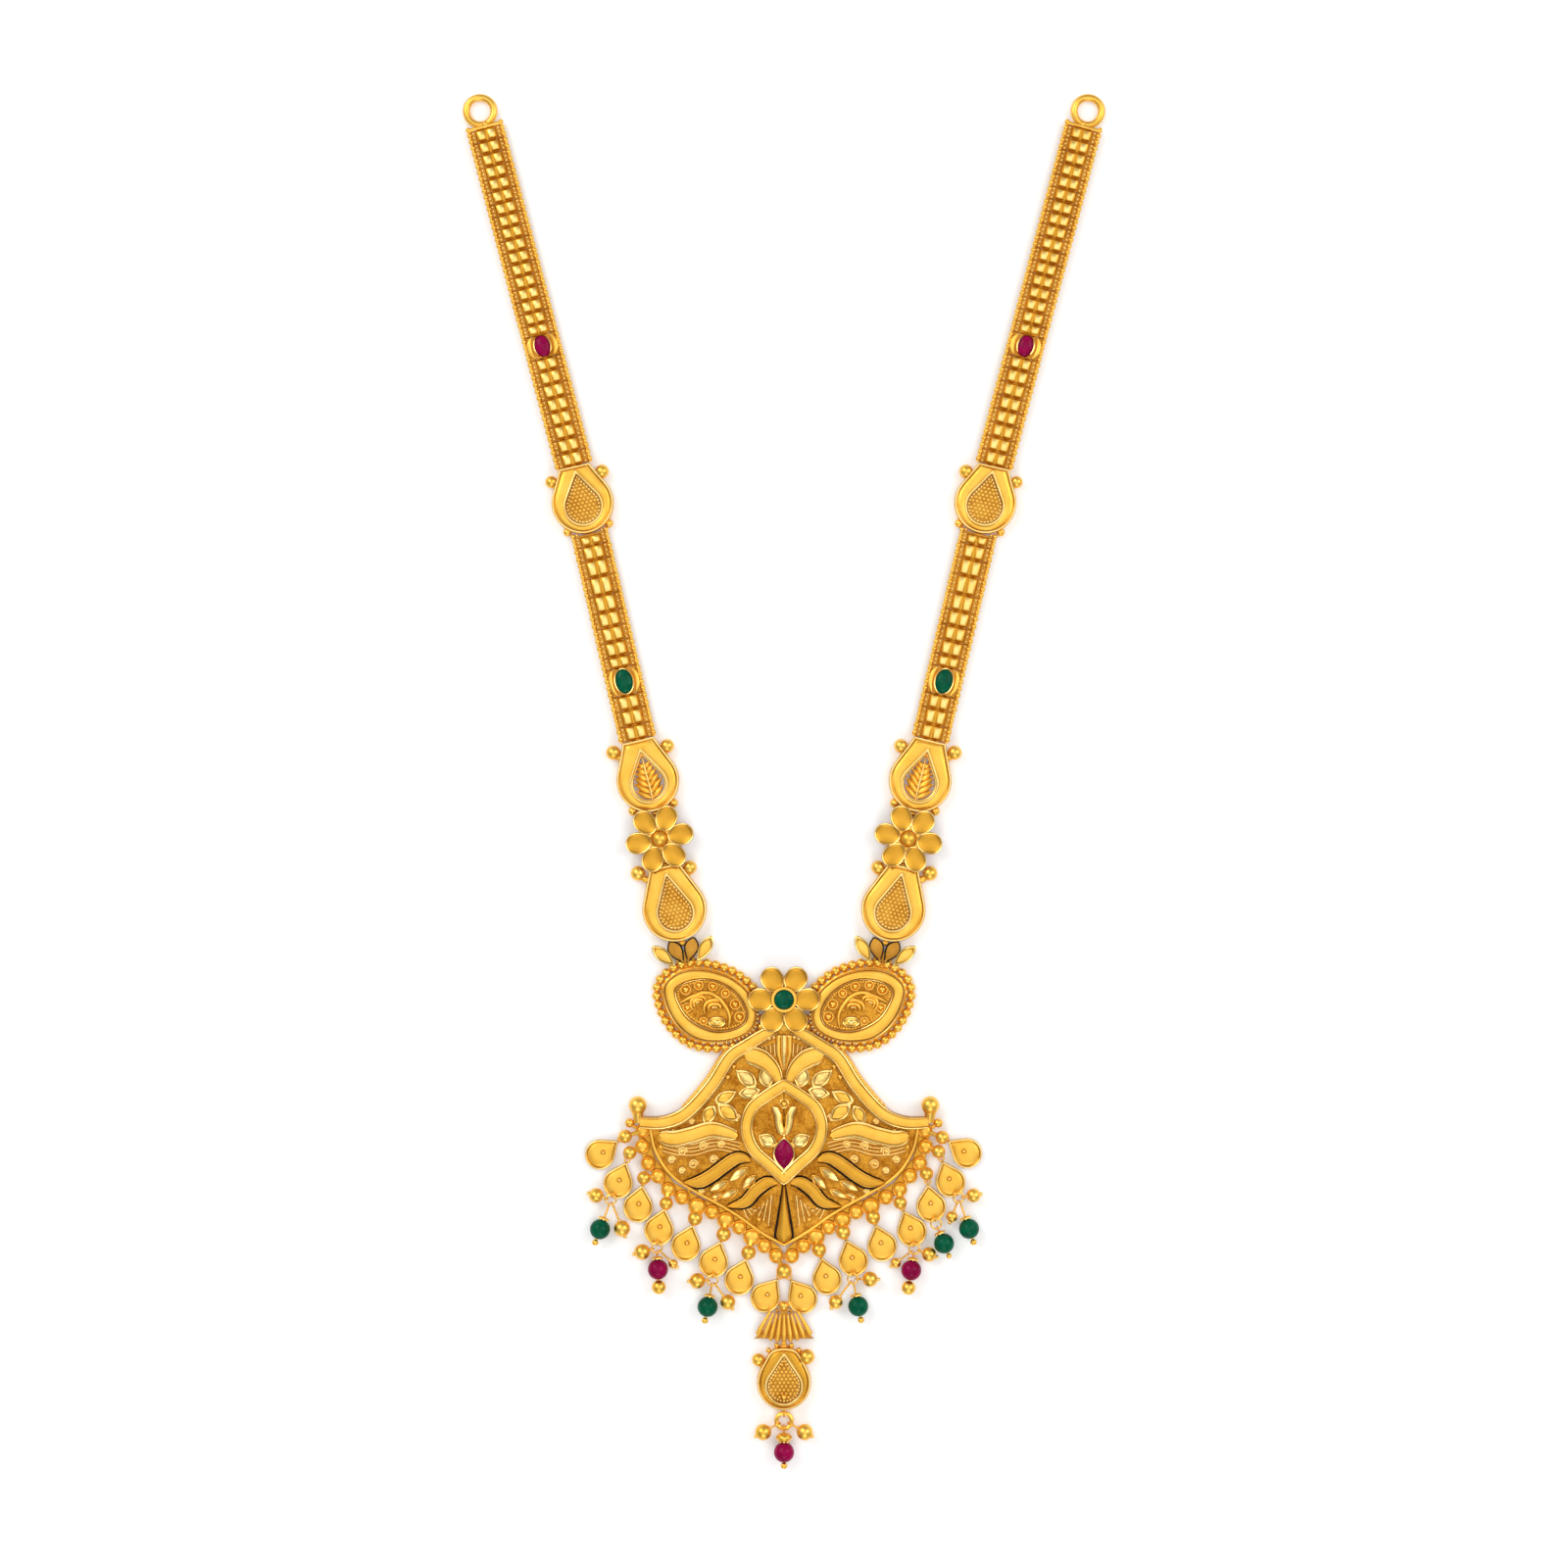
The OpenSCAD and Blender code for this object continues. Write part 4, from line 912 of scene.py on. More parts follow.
    def sweep(self, path: Array, width: Any, base: float, height: float, profile: Profile,
              closed: bool = False) -> None:
        """Carries a profile along a flat path; the profile's own widths and heights are shares.

        Args:
            path: The path, x and y.
            width: The full width, one or one a point.
            base: The height of the underside.
            height: The full height.
            profile: The profile, with its finishes.
            closed: Whether the path joins its own start.
        """
        across, up = pts(profile.points).T
        wide = np.broadcast_to(pts(width), (len(path),))[:, None] / 2
        flat = path[:, None] + sides_of(path, closed)[:, None] * (across * wide)[..., None]
        points = np.concatenate([flat, (base + up * height + wide * 0)[..., None]], axis=-1)
        if not closed:
            ends = points[[0, -1]].mean(axis=1, keepdims=True) + points[:2] * 0
            points = np.concatenate([ends[:1], points, ends[1:]])
        self.grid(points, profile.finishes, around=closed, across=True)

    def ribbon(self, path: Array, width: Any, base: float, height: float, finish: Finish,
               wall: Optional[Finish] = None, rise: float = 0.45, closed: bool = False) -> None:
        """Sweeps a domed profile along a flat path, with walls of their own finish where one is given."""
        self.sweep(path, width, base, height, Profile.domed(finish, rise, wall or finish), closed)

    def build(self) -> Any:
        """Writes the mesh in metres, with its finishes.

        Returns:
            The new object.
        """
        loops, sizes = np.concatenate(self.loops), np.concatenate(self.sizes)
        points = np.concatenate(self.points) * MM
        mesh = bpy.data.meshes.new(self.name)
        mesh.vertices.add(len(points))
        mesh.vertices.foreach_set("co", points.ravel())
        mesh.loops.add(len(loops))
        mesh.loops.foreach_set("vertex_index", loops)
        mesh.polygons.add(len(sizes))
        mesh.polygons.foreach_set("loop_start", np.concatenate([[0], np.cumsum(sizes)[:-1]]))
        mesh.polygons.foreach_set("loop_total", sizes)
        mesh.polygons.foreach_set("material_index", np.concatenate(self.looks))
        mesh.update(calc_edges=True)
        mesh.validate()
        mesh.shade_smooth()
        mesh.set_sharp_from_angle(angle=SHARP)
        for finish in self.finishes:
            mesh.materials.append(material(finish))
        return linked(self.name, mesh)


# Forms that many pieces share


@dataclass(frozen=True)
class Petal:
    """A cupped petal: an ellipse whose width grows outwards by a share a millimetre, up to a limit."""

    length: float
    width: float
    growth: float
    widest: float
    rim: float
    z: Pair
    count: int

    def outline(self) -> Array:
        """Returns the petal's outline about its middle."""
        x, y = ellipse(self.length, self.width, self.count).T
        return stacked(np.clip(x * (1 + self.growth * y), -self.widest, self.widest), y)


class Jeweller(Shape):
    """Adds the small forms that many pieces of the necklace share."""

    def box(self, x: Point, y: Point, z: Point, finish: Finish = SATIN, bevel: float = 0.06) -> None:
        """Adds a block with bevelled upper edges.

        Args:
            x: Its lowest and highest x.
            y: Its lowest and highest y.
            z: Its lowest and highest z.
            finish: Its finish.
            bevel: The width of the bevel.
        """
        base = rect(x, y)
        top = rect((x[0] + bevel, x[1] - bevel), (y[0] + bevel, y[1] - bevel))
        middle = base.mean(axis=0)
        self.loft([middle, base, base, top, middle], [z[0], z[0], z[1] - bevel, z[1], z[1]], finish)

    def sleeve(self, y: float) -> None:
        """Adds the short pipe that turns on a cross wire: a rectangle turned about the wire.

        Args:
            y: The height of the wire in the piece's own place.
        """
        along_x, reach = pts([(-0.45, 0.45, 0.45, -0.45), (SLEEVE, SLEEVE, BORE, BORE)])
        turn = rounds(14)[:, None]
        points = stacked(along_x, reach * np.cos(turn), reach * np.sin(turn))
        self.grid(points + pts((0, y, WIRE_Z)), SATIN, around=True, across=True)

    def knuckle(self, y: float) -> None:
        """Adds the sleeve round the next piece's cross wire, with its neck."""
        self.sleeve(y)
        self.box((-0.4, 0.4), (y + 0.42, y + 0.8), (0.15, 1.3))

    def axle(self, y: float, root: float) -> None:
        """Adds the wire that the sleeve above turns on, with two posts that start at a root's y.

        Args:
            y: The height of the wire in the piece's own place.
            root: Where the posts start.
        """
        self.tube([(-1.3, y, WIRE_Z), (1.3, y, WIRE_Z)], 0.2)
        for x in POSTS:
            self.box((x, x + 0.4), (root, y + 0.24), (0.3, 0.86))

    def cross_wire(self, y: float, root: float = 0.7, top: float = 1.3) -> None:
        """Adds a wire whose posts are stepped up behind it.

        Args:
            y: The height of the wire in the piece's own place.
            root: How far the posts reach back into the piece.
            top: The height of the posts.
        """
        self.axle(y, y - root)
        for x in POSTS:
            self.box((x, x + 0.4), (y - root, y - 0.1), (0.5, top))

    def dish(self, outline: Array, z: Point, rim: float, finish: Finish, sink: float = 0.4) -> None:
        """Adds a cupped petal: a wall, a thin round rim in painted highlight with a groove of painted shade
        inside it, and a hollow that deepens to its middle.

        Args:
            outline: The counterclockwise outline.
            z: The lowest and highest heights.
            rim: The width of the rim.
            finish: The finish of the hollow.
            sink: The depth of the hollow at its middle.
        """
        centre = outline.mean(axis=0)
        bottom, top = z
        line = inset(outline, rim + 0.22)
        shares = (0.25, 0.5, 0.78, 1.0)
        rings = [centre, outline, *(inset(outline, w) for w in (0.05, rim * 0.5, rim)), line]
        rings += [mix(line, centre, s) for s in shares]
        heights = [bottom, bottom, top - 0.08, top, top - 0.05, top - 0.16]
        heights += [top - 0.16 - (sink - 0.16) * math.sin(math.pi / 2 * s) for s in shares]
        self.loft(rings, heights, [BRONZE, BRONZE, PALE, PALE, BRONZE] + [finish] * 4)

    def petals(self, first: float, reach: float, petal: Petal) -> None:
        """Adds six cupped petals round the middle, the first at a heading in degrees, their hollows in painted
        shade.
        """
        for turn in range(0, 360, 60):
            self.at(0, 0, first + turn - 90).at(0, reach).dish(petal.outline(), petal.z, petal.rim, AMBER)

    def blade(self, outline: Array, z: Point, finish: Finish, rim: float, crown: float,
              edge: Finish = PALE) -> None:
        """Adds a leaf with a thin raised outline, a painted highlight unless another edge is given, and a
        crowned middle, with painted shade on the underside and in the groove.

        Args:
            outline: The counterclockwise outline.
            z: The height of the underside and of the outline's top.
            finish: The finish of the middle.
            rim: The width of the outline.
            crown: How far the middle stands above the groove beside the outline.
            edge: The finish of the outline.
        """
        centre = outline.mean(axis=0)
        bottom, top = z
        least = max(np.linalg.norm(outline - centre, axis=1).min(), 0.3)
        inner = mix(outline, centre, min(0.45, rim / least))
        groove = mix(inner, centre, 0.18)
        shares = (0.3, 0.6, 0.85, 1.0)
        rings = [centre, outline, outline, mix(outline, inner, 0.5), inner, groove]
        rings += [mix(groove, centre, s) for s in shares]
        heights = [bottom, bottom, top - 0.1, top, top - 0.04, top - 0.2]
        heights += [top - 0.2 + crown * math.sin(math.pi / 2 * s) for s in shares]
        self.loft(rings, heights, [edge, BRONZE, edge, edge, BRONZE] + [finish] * 4)

    def collet(self, outer: Array, lip: Array, inner: Array, z: Point) -> None:
        """Adds a closed bezel: a wall, a lip in painted highlight, and an opening and floor in painted shade.

        Args:
            outer: The outline of the wall.
            lip: The outline of the lip's highest line.
            inner: The outline of the opening.
            z: The heights of the underside, the wall's top, the lip, the opening and the floor.
        """
        centre = outer.mean(axis=0)
        self.loft([centre, outer, outer, lip, inner, inner, centre], [z[0], *z, z[-1]],
                  [SATIN, SATIN, PALE, PALE, BRONZE, BRONZE])

    def arm_ball(self, root: Point, ball: Point, radius: float, z: float) -> None:
        """Adds a ball on a curled arm that swells into it.

        Args:
            root: The arm's start, x and y.
            ball: The ball's middle, x and y.
            radius: The ball's radius.
            z: The height of the ball's middle.
        """
        start, end = pts(root), pts(ball)
        bend = np.array([end[1] - start[1], start[0] - end[0]]) * 0.18 * math.copysign(1, end[0])
        path = smooth_path([start, (start + end) / 2 + bend, end], 6)
        self.tube(raised(path, np.linspace(1.05, z, len(path))), np.linspace(0.75, 0.55, len(path)),
                  sides=10)
        self.ball((*end, z), radius, POLISHED, 24)


def blank(name: str, side: Side) -> Jeweller:
    """Returns an empty shape named after a side, with its surfaces carried to that side's place."""
    return Jeweller(name.format(side.value)).on(side.place)


# Layout


@dataclass(frozen=True)
class Strap:
    """One strap: its lean and rows of links, and the oval stone between them."""

    name: str
    lean: float
    rows: tuple[float, ...]
    stone_row: float
    last_rows: tuple[float, ...]
    stone: str
    size: Pair
    rise: float
    finish: Finish

    @property
    def length(self) -> float:
        """Returns the strap's length."""
        return sum(self.rows) + self.stone_row + sum(self.last_rows)


UPPER = Strap("upper", 14.8, (2.32,) * 16 + (2.0,), 4.35, (2.35,) + (2.58,) * 7, "ruby", (4.0, 2.8), 0.75,
              RUBY)
LOWER = Strap("lower", 13.2, (1.9, 2.72, 3.13, 3.47, 3.15, 2.84, 2.79, 2.76, 2.2), 5.14, (2.7, 2.89, 2.77),
              "emerald", (4.5, 3.1), 0.8, EMERALD)


def walk_down(spot: Array, stops: Sequence[tuple[str, float, Line]]) -> dict[str, Triple]:
    """Works out the stops of the left chain, each reached from the last by leaning lengths.

    Args:
        spot: The start.
        stops: Each stop's name and own lean, and the lean and length of each stretch to it.

    Returns:
        The x, y and lean of each stop.
    """
    made = {}
    for name, own, stretches in stops:
        for lean, length in stretches:
            spot = ahead(spot, lean, length)
        made[name] = (float(spot[0]), float(spot[1]), own)
    return made


STOPS = walk_down(pts((-54.79, 119.57)), (
    ("upper", UPPER.lean, ()),
    ("upper_drop", 12.8, ((UPPER.lean, UPPER.length), (12.8, 7.0))),
    ("lower", LOWER.lean, ((12.8, 6.07),)),
    ("leaf", 13.6, ((LOWER.lean, LOWER.length), (13.6, 7.8))),
    ("flower", 11.7, ((11.7, 10.82),)),
    ("lower_drop", 13.2, ((9.4, 5.0), (13.2, 8.3))),
    ("bud", 10.0, ((13.2, 6.28), (10.0, 4.1))),
))


@dataclass
class SubAssembly:
    """A part of the necklace that stands for some of the model's nodes."""

    slots: dict[str, str]

    def shapes(self) -> dict[str, Shape]:
        """Returns one shape for each node that the sub-assembly stands for."""
        raise NotImplementedError

    def dress(self) -> int:
        """Writes the shapes and puts each in its node's place.

        Returns:
            The number of pieces.
        """
        made = self.shapes()
        for node, shape in made.items():
            piece = shape.build()
            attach(piece, "root")
            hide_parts(node)
            LOG.info("%s: %d faces for %s", piece.name, len(piece.data.polygons), node)
        return len(made)


# Straps and end rings


@dataclass
class Straps(SubAssembly):
    """The hinged straps: bevelled links with two studs, granule rails, and the oval settings."""

    bar_half: float = 1.95
    rail_x: float = 3.08
    rail_z: float = 1.3
    granule: float = 0.54
    granule_step: float = 1.15
    strip_x: float = 2.36
    stud_x: float = 0.95
    seat_z: float = 1.62

    def rails(self, shape: Jeweller, length: float) -> None:
        """Adds the granules, wires and strips of painted shade dotted with painted highlights at a link's two
        edges, with its hinge.

        Args:
            shape: The shape, at the link's middle.
            length: The link's length.
        """
        half, x, z = length / 2, self.rail_x, self.rail_z
        count = round(length / self.granule_step)
        line = stacked(x, (np.arange(count) + 0.5) * length / count - half, z)
        for sign in (-1, 1):
            shape.balls(line * [sign, 1, 1], min(self.granule, half / count - 0.05), POLISHED, 10)
            shape.tube([(sign * x, -half - 0.03, z), (sign * x, half + 0.03, z)], 0.3, sides=6)
            strip = sign * self.strip_x
            # A strip of painted shade with dots of painted highlight on it
            shape.box((strip - 0.5, strip + 0.5), (-half, half), (0.95, 1.36), BRONZE, 0.1)
            shape.balls([(strip, spot, 1.42) for spot in (-length / 3, 0, length / 3)], 0.2, PALE, 8)
            shape.tube([(-x, sign * length / 4, 1.2), (x, sign * length / 4, 1.2)], 0.17, sides=6)
        shape.knuckle(-half)
        shape.cross_wire(half)

    def link(self, shape: Jeweller, length: float) -> None:
        """Adds one link: a bevelled bar in painted shade with two square studs, their sides in painted shade and
        their tops in painted highlight.

        Args:
            shape: The shape, at the link's middle.
            length: The link's length.
        """
        half, wide = length / 2 - 0.075, self.bar_half
        base, bevel = (rect((cut - wide, wide - cut), (fall - half, half - fall))
                       for cut, fall in ((0, 0), (0.2, 0.24)))
        # The bar's wall and top are painted shade
        shape.loft([(0, 0), base, base, bevel, (0, 0)], [1.28, 1.28, 1.5, 1.74, 1.78],
                   [SATIN, BRONZE, AMBER, AMBER])
        for x in (-self.stud_x, self.stud_x):
            foot, edge, top = (rect((x - reach, x + reach), (fall - half, half - fall))
                               for reach, fall in ((0.78, 0.2), (0.7, 0.28), (0.48, 0.46)))
            # Each stud: painted shade on its sides, painted highlight on its top
            shape.loft([(x, 0), foot, edge, top, (x, 0)], [1.7, 1.7, 2.1, 2.2, 2.22],
                       [BRONZE, BRONZE, AMBER, PALE])
        self.rails(shape, length)

    def run(self, shape: Jeweller, rows: Sequence[float], offset: float) -> None:
        """Adds a row of links, one below the other, from an offset below the strap's top.

        Args:
            shape: The shape, at the strap's top.
            rows: The links' lengths.
            offset: The length from the strap's top to the first link.
        """
        for before, length in zip(np.cumsum([offset, *rows]), rows):
            self.link(shape.at(0, -before - length / 2), length)

    def head(self, shape: Jeweller) -> None:
        """Adds the bar in painted shade and granules, the small ones in painted highlight, at the lower strap's
        top, just below the station's foot.

        Args:
            shape: The shape, at the strap's top.
        """
        shape.box((-2.7, 2.7), (-0.1, 0.3), (0.9, 1.5), BRONZE)
        for x in (-self.rail_x, self.rail_x):
            shape.ball((x, 0.42, self.rail_z), 0.48, POLISHED, 12)
            shape.ball((x * 0.76, 0.5, self.rail_z), 0.3, PALE, 10)

    def setting(self, shape: Jeweller, strap: Strap) -> None:
        """Adds an oval setting: a bezel between two curved leaf plates.

        Args:
            shape: The shape, at the stone's middle.
            strap: The strap that it stands in.
        """
        length, (tall, wide) = strap.stone_row, strap.size
        half = length / 2
        outlines = [ellipse(min(tall + grow, length - gap), wide + more, 40)
                    for grow, gap, more in ((0.7, 0.1, 0.7), (0.5, 0.3, 0.45), (0.1, 0, 0.1))]
        shape.collet(*outlines, (1.28, 2.1, 2.3, 2.24, 1.6))
        # A plate in painted shade under the bezel
        shape.box((-2.6, 2.6), (-half + 0.1, half - 0.1), (1.28, 1.58), BRONZE)
        bow = smooth_path([(1.75, 0.25 - half), (2.3, -half * 0.45), (2.42, 0), (2.3, half * 0.45),
                           (1.75, half - 0.25)], 5)
        for sign in (-1, 1):
            shape.ribbon(bow * [sign, 1], 0.85 * along(len(bow), 0.3, 0.3), 1.45, 0.6, POLISHED)
        self.rails(shape, length)

    def stone(self, shape: Shape, strap: Strap) -> None:
        """Adds a domed oval stone: a quarter ellipse turned and squashed to the oval."""
        profile = [(0, 0), (1, 0), *quarter(9, 1.0, strap.rise, 0.3)]
        shape.lathe(profile, (0, 0, self.seat_z), strap.finish, 40, pts(strap.size)[::-1] / 2)

    def end_ring(self, shape: Jeweller) -> None:
        """Adds the end ring on its bar, with the granules at the strap's corners.

        Args:
            shape: The shape, in its half.
        """
        x, y, lean = STOPS["upper"]
        spot = ahead((x, y), lean, -3.49) + [-0.08, -0.05]
        turn = np.linspace(0, TURN, 17)
        wire = stacked(np.maximum(2.52 + 0.65 * np.cos(turn), 1.86), 0.65 * np.sin(turn))
        shape.lathe(wire, (*spot, 0.65), POLISHED, 48)
        bar = shape.at(x, y, lean)
        bar.tube([(-3.1, 0.36, 1.37), (3.1, 0.36, 1.37)], 0.36, POLISHED, 10)
        bar.balls([(x, 0.52, self.rail_z) for x in (-self.rail_x, self.rail_x)], 0.5, POLISHED, 20)
        bar.ball((0.2, 0.8, self.rail_z), 0.56, POLISHED)
        bar.knuckle(0)

    def shapes(self) -> dict[str, Shape]:
        """Returns the shapes of the straps, settings, oval stones and end rings."""
        made: dict[str, Any] = {}
        for side in Side:
            made[f"eyelet_{side.value}"] = ring = blank("end_ring_{}_gold", side)
            self.end_ring(ring)
            for strap in (UPPER, LOWER):
                made[f"strap_{strap.name}_{side.value}"] = blank(strap.name + "_links_{}_gold", side)
            for strap in (UPPER, LOWER):
                links = made[f"strap_{strap.name}_{side.value}"]
                setting, stone = (blank(strap.stone + name, side) for name in ("_bezel_{}", "_cabochon_{}"))
                stop, above = STOPS[strap.name], sum(strap.rows)
                self.run(links.at(*stop), strap.rows, 0)
                self.run(links.at(*stop), strap.last_rows, above + strap.stone_row)
                self.setting(setting.at(*stop).at(0, -above - strap.stone_row / 2), strap)
                self.stone(stone.at(*stop).at(0, -above - strap.stone_row / 2), strap)
                if strap is LOWER:
                    self.head(links.at(*stop))
                made |= {f"{strap.stone}_setting_{side.value}": setting,
                         f"{strap.stone}_oval_{side.value}": stone}
        return made


# Stations


@dataclass(frozen=True)
class Plate:
    """A drop-shaped station: its round foot, its flat top and the plate inside its crowned band."""

    radius: float
    top_y: float
    top_half: float
    inner_radius: float
    inner_top: float
    shoulders: Spots = ()
    feet: Spots = ()
    pierced: bool = False
    hangs: bool = True
    middle: Finish = SATIN
    ball_z: float = 1.25

    def inner(self, grow: float, rise: float, half: float = 0.05) -> Array:
        """Returns the plate's outline grown at its foot and raised at its point."""
        return drop(self.inner_radius + grow, self.inner_top + rise, half, -0.6)

    def frame(self, shape: Jeweller) -> None:
        """Adds the rim wire, the crowned satin band, the inner rim and the plate's floor.

        Args:
            shape: The shape, at the station's middle.
        """
        outer = drop(self.radius, self.top_y, self.top_half)
        rim = drop(self.radius - 0.62, self.top_y - 0.62, self.top_half * 0.82)
        inner, lip = self.inner(0, 0.6), self.inner(0.42, 1.3, 0.08)
        for _ in range(0 if self.hangs else 7):
            outer, rim = ((np.roll(line, 1, axis=0) + 2 * line + np.roll(line, -1, axis=0)) / 4
                          for line in (outer, rim))
        rings = [outer, outer, *(inset(outer, w) for w in (0.1, 0.34, 0.42))]
        rings += [mix(rim, lip, s) for s in (0, 0.12, 0.35, 0.6, 0.85, 1)]
        rings += [mix(lip, inner, s) for s in (0.1, 0.7, 1, 1)]
        heights = [0.2, 1.85, 2.08, 2.1, 1.88, 1.8, 1.92, 1.98, 1.98, 1.93, 1.84, 1.98, 2.02, 1.92]
        # Painted highlight on the rim wire's top and the inner lip; painted shade on the lines beside them and
        # on the floor
        edge = [SATIN, BRONZE, PALE, PALE, BRONZE]
        looks = [SATIN, *edge, *[self.middle] * 4, *edge]
        if self.pierced:
            shape.loft([inner, *rings], [0.2, *heights, 0.2], [*looks[:-1], PALE])
        else:
            shape.loft([(0, 0), *rings, inner * 0.6, (0, 0)], [0.2, *heights, 1.1, 1.22, 1.28],
                       [*looks, BRONZE, BRONZE])

    def field(self, shape: Jeweller) -> None:
        """Adds the plate's granules: a row along its edge and a staggered grid inside.

        Args:
            shape: The shape, at the station's middle.
        """
        # The row of granules along the edge is a painted highlight
        shape.balls(raised(evened(self.inner(-0.28, 0.1), 34, closed=True), 1.2), 0.24, PALE, 6)
        grid = np.stack(np.meshgrid(np.arange(-4, 5) * 0.78, np.arange(-6, 10) * 0.66), -1)
        grid[1::2, :, 0] += 0.39
        spots = grid.reshape(-1, 2)
        spots = spots[inside(spots, self.inner(-0.55, -0.3))]
        shape.balls(raised(spots, 1.3), 0.265, SATIN, 6)

    def add(self, shape: Jeweller) -> None:
        """Adds the whole station, with the balls beside its top and foot.

        Args:
            shape: The shape, at the station's middle.
        """
        self.frame(shape)
        if not self.pierced:
            self.field(shape)
        shape.cross_wire(self.top_y + 0.1, 0.7, 1.5)
        if self.hangs:
            shape.knuckle(-self.radius - 0.4)
        for x, y, size in self.shoulders:
            radius, wide = size + 0.12, abs(x)
            z = max(self.ball_z, radius)
            shape.arm_ball((x * 0.45, y - wide * 0.35), (x, y), radius, z)
            # The small ring on each arm is a painted highlight
            shape.ring((x * 0.8, y - wide * 0.13, z), 0.42, 0.16, PALE,
                       heading((0, 0), (x * 0.2, wide * 0.13)) + 90, 12)
        for x, y, size in self.feet:
            shape.ball((x, y, 1.0), size + 0.15, POLISHED)


@dataclass
class Stations(SubAssembly):
    """The drop, leaf and flower stations and the bud links between the straps and the wings."""

    upper: Plate = Plate(5.67, 6.9, 2.8, 3.25, 5.4, ((-4.75, 5.0, 1.0), (4.75, 4.85, 1.15)),
                         ((-3.9, -4.6, 0.65), (3.9, -4.7, 0.65)))
    open_leaf: Plate = Plate(5.72, 7.7, 2.9, 3.15, 5.4, ((-4.95, 6.5, 1.2), (4.95, 5.4, 1.15)),
                             ((-4.0, -4.75, 0.7), (3.6, -5.05, 0.7)), pierced=True)
    lower: Plate = Plate(5.88, 8.2, 2.8, 3.15, 6.3, ((-5.0, 8.0, 1.25), (4.5, 6.9, 1.15)))
    petal: Petal = Petal(4.9, 4.05, 0.2 / 4.9, 2.025, 0.26, (2.2, 2.95), 32)
    ribs: tuple[float, ...] = (3.3, 3.6, 3.25, 2.8, 2.2, 1.5)

    def leaf_station(self, shape: Jeweller) -> None:
        """Adds the open leaf: a stem with blades near 45 degrees, inside a thin border.

        Args:
            shape: The shape, at the station's middle.
        """
        self.open_leaf.add(shape)
        # The border, stem and rib wires are painted highlights; the plate under the blades and the blades' walls
        # are painted shade
        shape.ribbon(drop(3.05, 5.7, 0.05, -0.6), 0.4, 0.7, 0.45, PALE, closed=True)
        shape.mound(drop(2.1, 4.4, 0.05, -0.6), 0.5, 0.8, 0.85, BRONZE)
        stem = smooth_path([(0, -3.6), (0.06, -1.5), (-0.04, 1.5), (0, 4.9)])
        shape.ribbon(stem, 0.42 * along(len(stem), 0.7, 0.4), 0.85, 0.62, PALE)
        for sign in (-1, 1):
            for k, reach in enumerate(self.ribs):
                rib = shape.at(sign * 0.1, k * 1.15 - 3.35, sign * (k * 2 - 50))
                rib.mound(leaf(reach, 1.0, 20), 0.75, 1.15, 1.5, SATIN, BRONZE)
                rib.tube([(0, 0.1, 1.2), (0, reach * 0.9, 1.24)], 0.09, PALE, 6)

    def flower_station(self, shape: Jeweller) -> None:
        """Adds the flower station with its dome.

        Args:
            shape: The shape, at the flower's middle.
        """
        shape.petals(0.3, 3.9, self.petal)
        shape.lathe([(0, 0), (2.5, 0), (2.5, 2.6), (2.2, 2.72), (0, 2.72)], (0, 0, 0.02), steps=32)
        # A ring of painted shade round the dome
        shape.ring((0, 0, 2.72), 1.55, 0.16, BRONZE, steps=32, sides=8)
        shape.ball((0, 0, 2.45), 1.45, SATIN, 36)
        shape.axle(4.7, 0)
        foot = shape.at(0, 0, -2.3)
        foot.knuckle(-5.0)
        foot.box((-0.4, 0.4), (-4.5, 0), (0.2, 1.1))

    def bud_link(self, shape: Jeweller) -> None:
        """Adds the bud link: two dark petals, a fill of painted shade in a black painted-shade outline, between
        two pale ones with painted-highlight rims.

        Args:
            shape: The shape, at the bud's root.
        """
        dark, pale = leaf(4.9, 2.7, 40, 1.4, 0.75), leaf(5.6, 2.4, 36, 1.25, 0.75)
        for sign in (-1, 1):
            inner = shape.at(sign * -0.15, 0, sign * 24).at(0, 0.4)
            inner.mound(dark, 1.28, 1.8, 1.95, ENAMEL)
            inner.mound(inset(dark, 0.26), 1.3, 1.95, 2.05, BRONZE, ENAMEL)
            shape.at(-sign * 2.0, 0.2, sign * 40).blade(pale, (1.28, 2.0), POLISHED, 0.22, 0.1)
        # A block of painted shade behind the petals
        shape.box((-1.7, 1.7), (0.3, 2.5), (0.2, 1.38), BRONZE)
        shape.axle(4.1, 2)
        shape.knuckle(-0.25)

    def shapes(self) -> dict[str, Shape]:
        """Returns the shapes of the stations and bud links."""
        made: dict[str, Shape] = {}
        for side in Side:
            for node, name, stop, add in (
                ("drop_station_upper_{}", "upper_drop_{}_gold", "upper_drop", self.upper.add),
                ("leaf_station_{}", "open_leaf_{}_gold", "leaf", self.leaf_station),
                ("flower_station_{}", "petal_station_{}_gold", "flower", self.flower_station),
                ("drop_station_lower_{}", "low_drop_{}_gold", "lower_drop", self.lower.add),
                ("bud_link_{}", "bud_petals_{}_gold", "bud", self.bud_link),
            ):
                made[node.format(side.value)] = shape = blank(name, side)
                add(shape.at(*STOPS[stop]))
        return made


# Wings


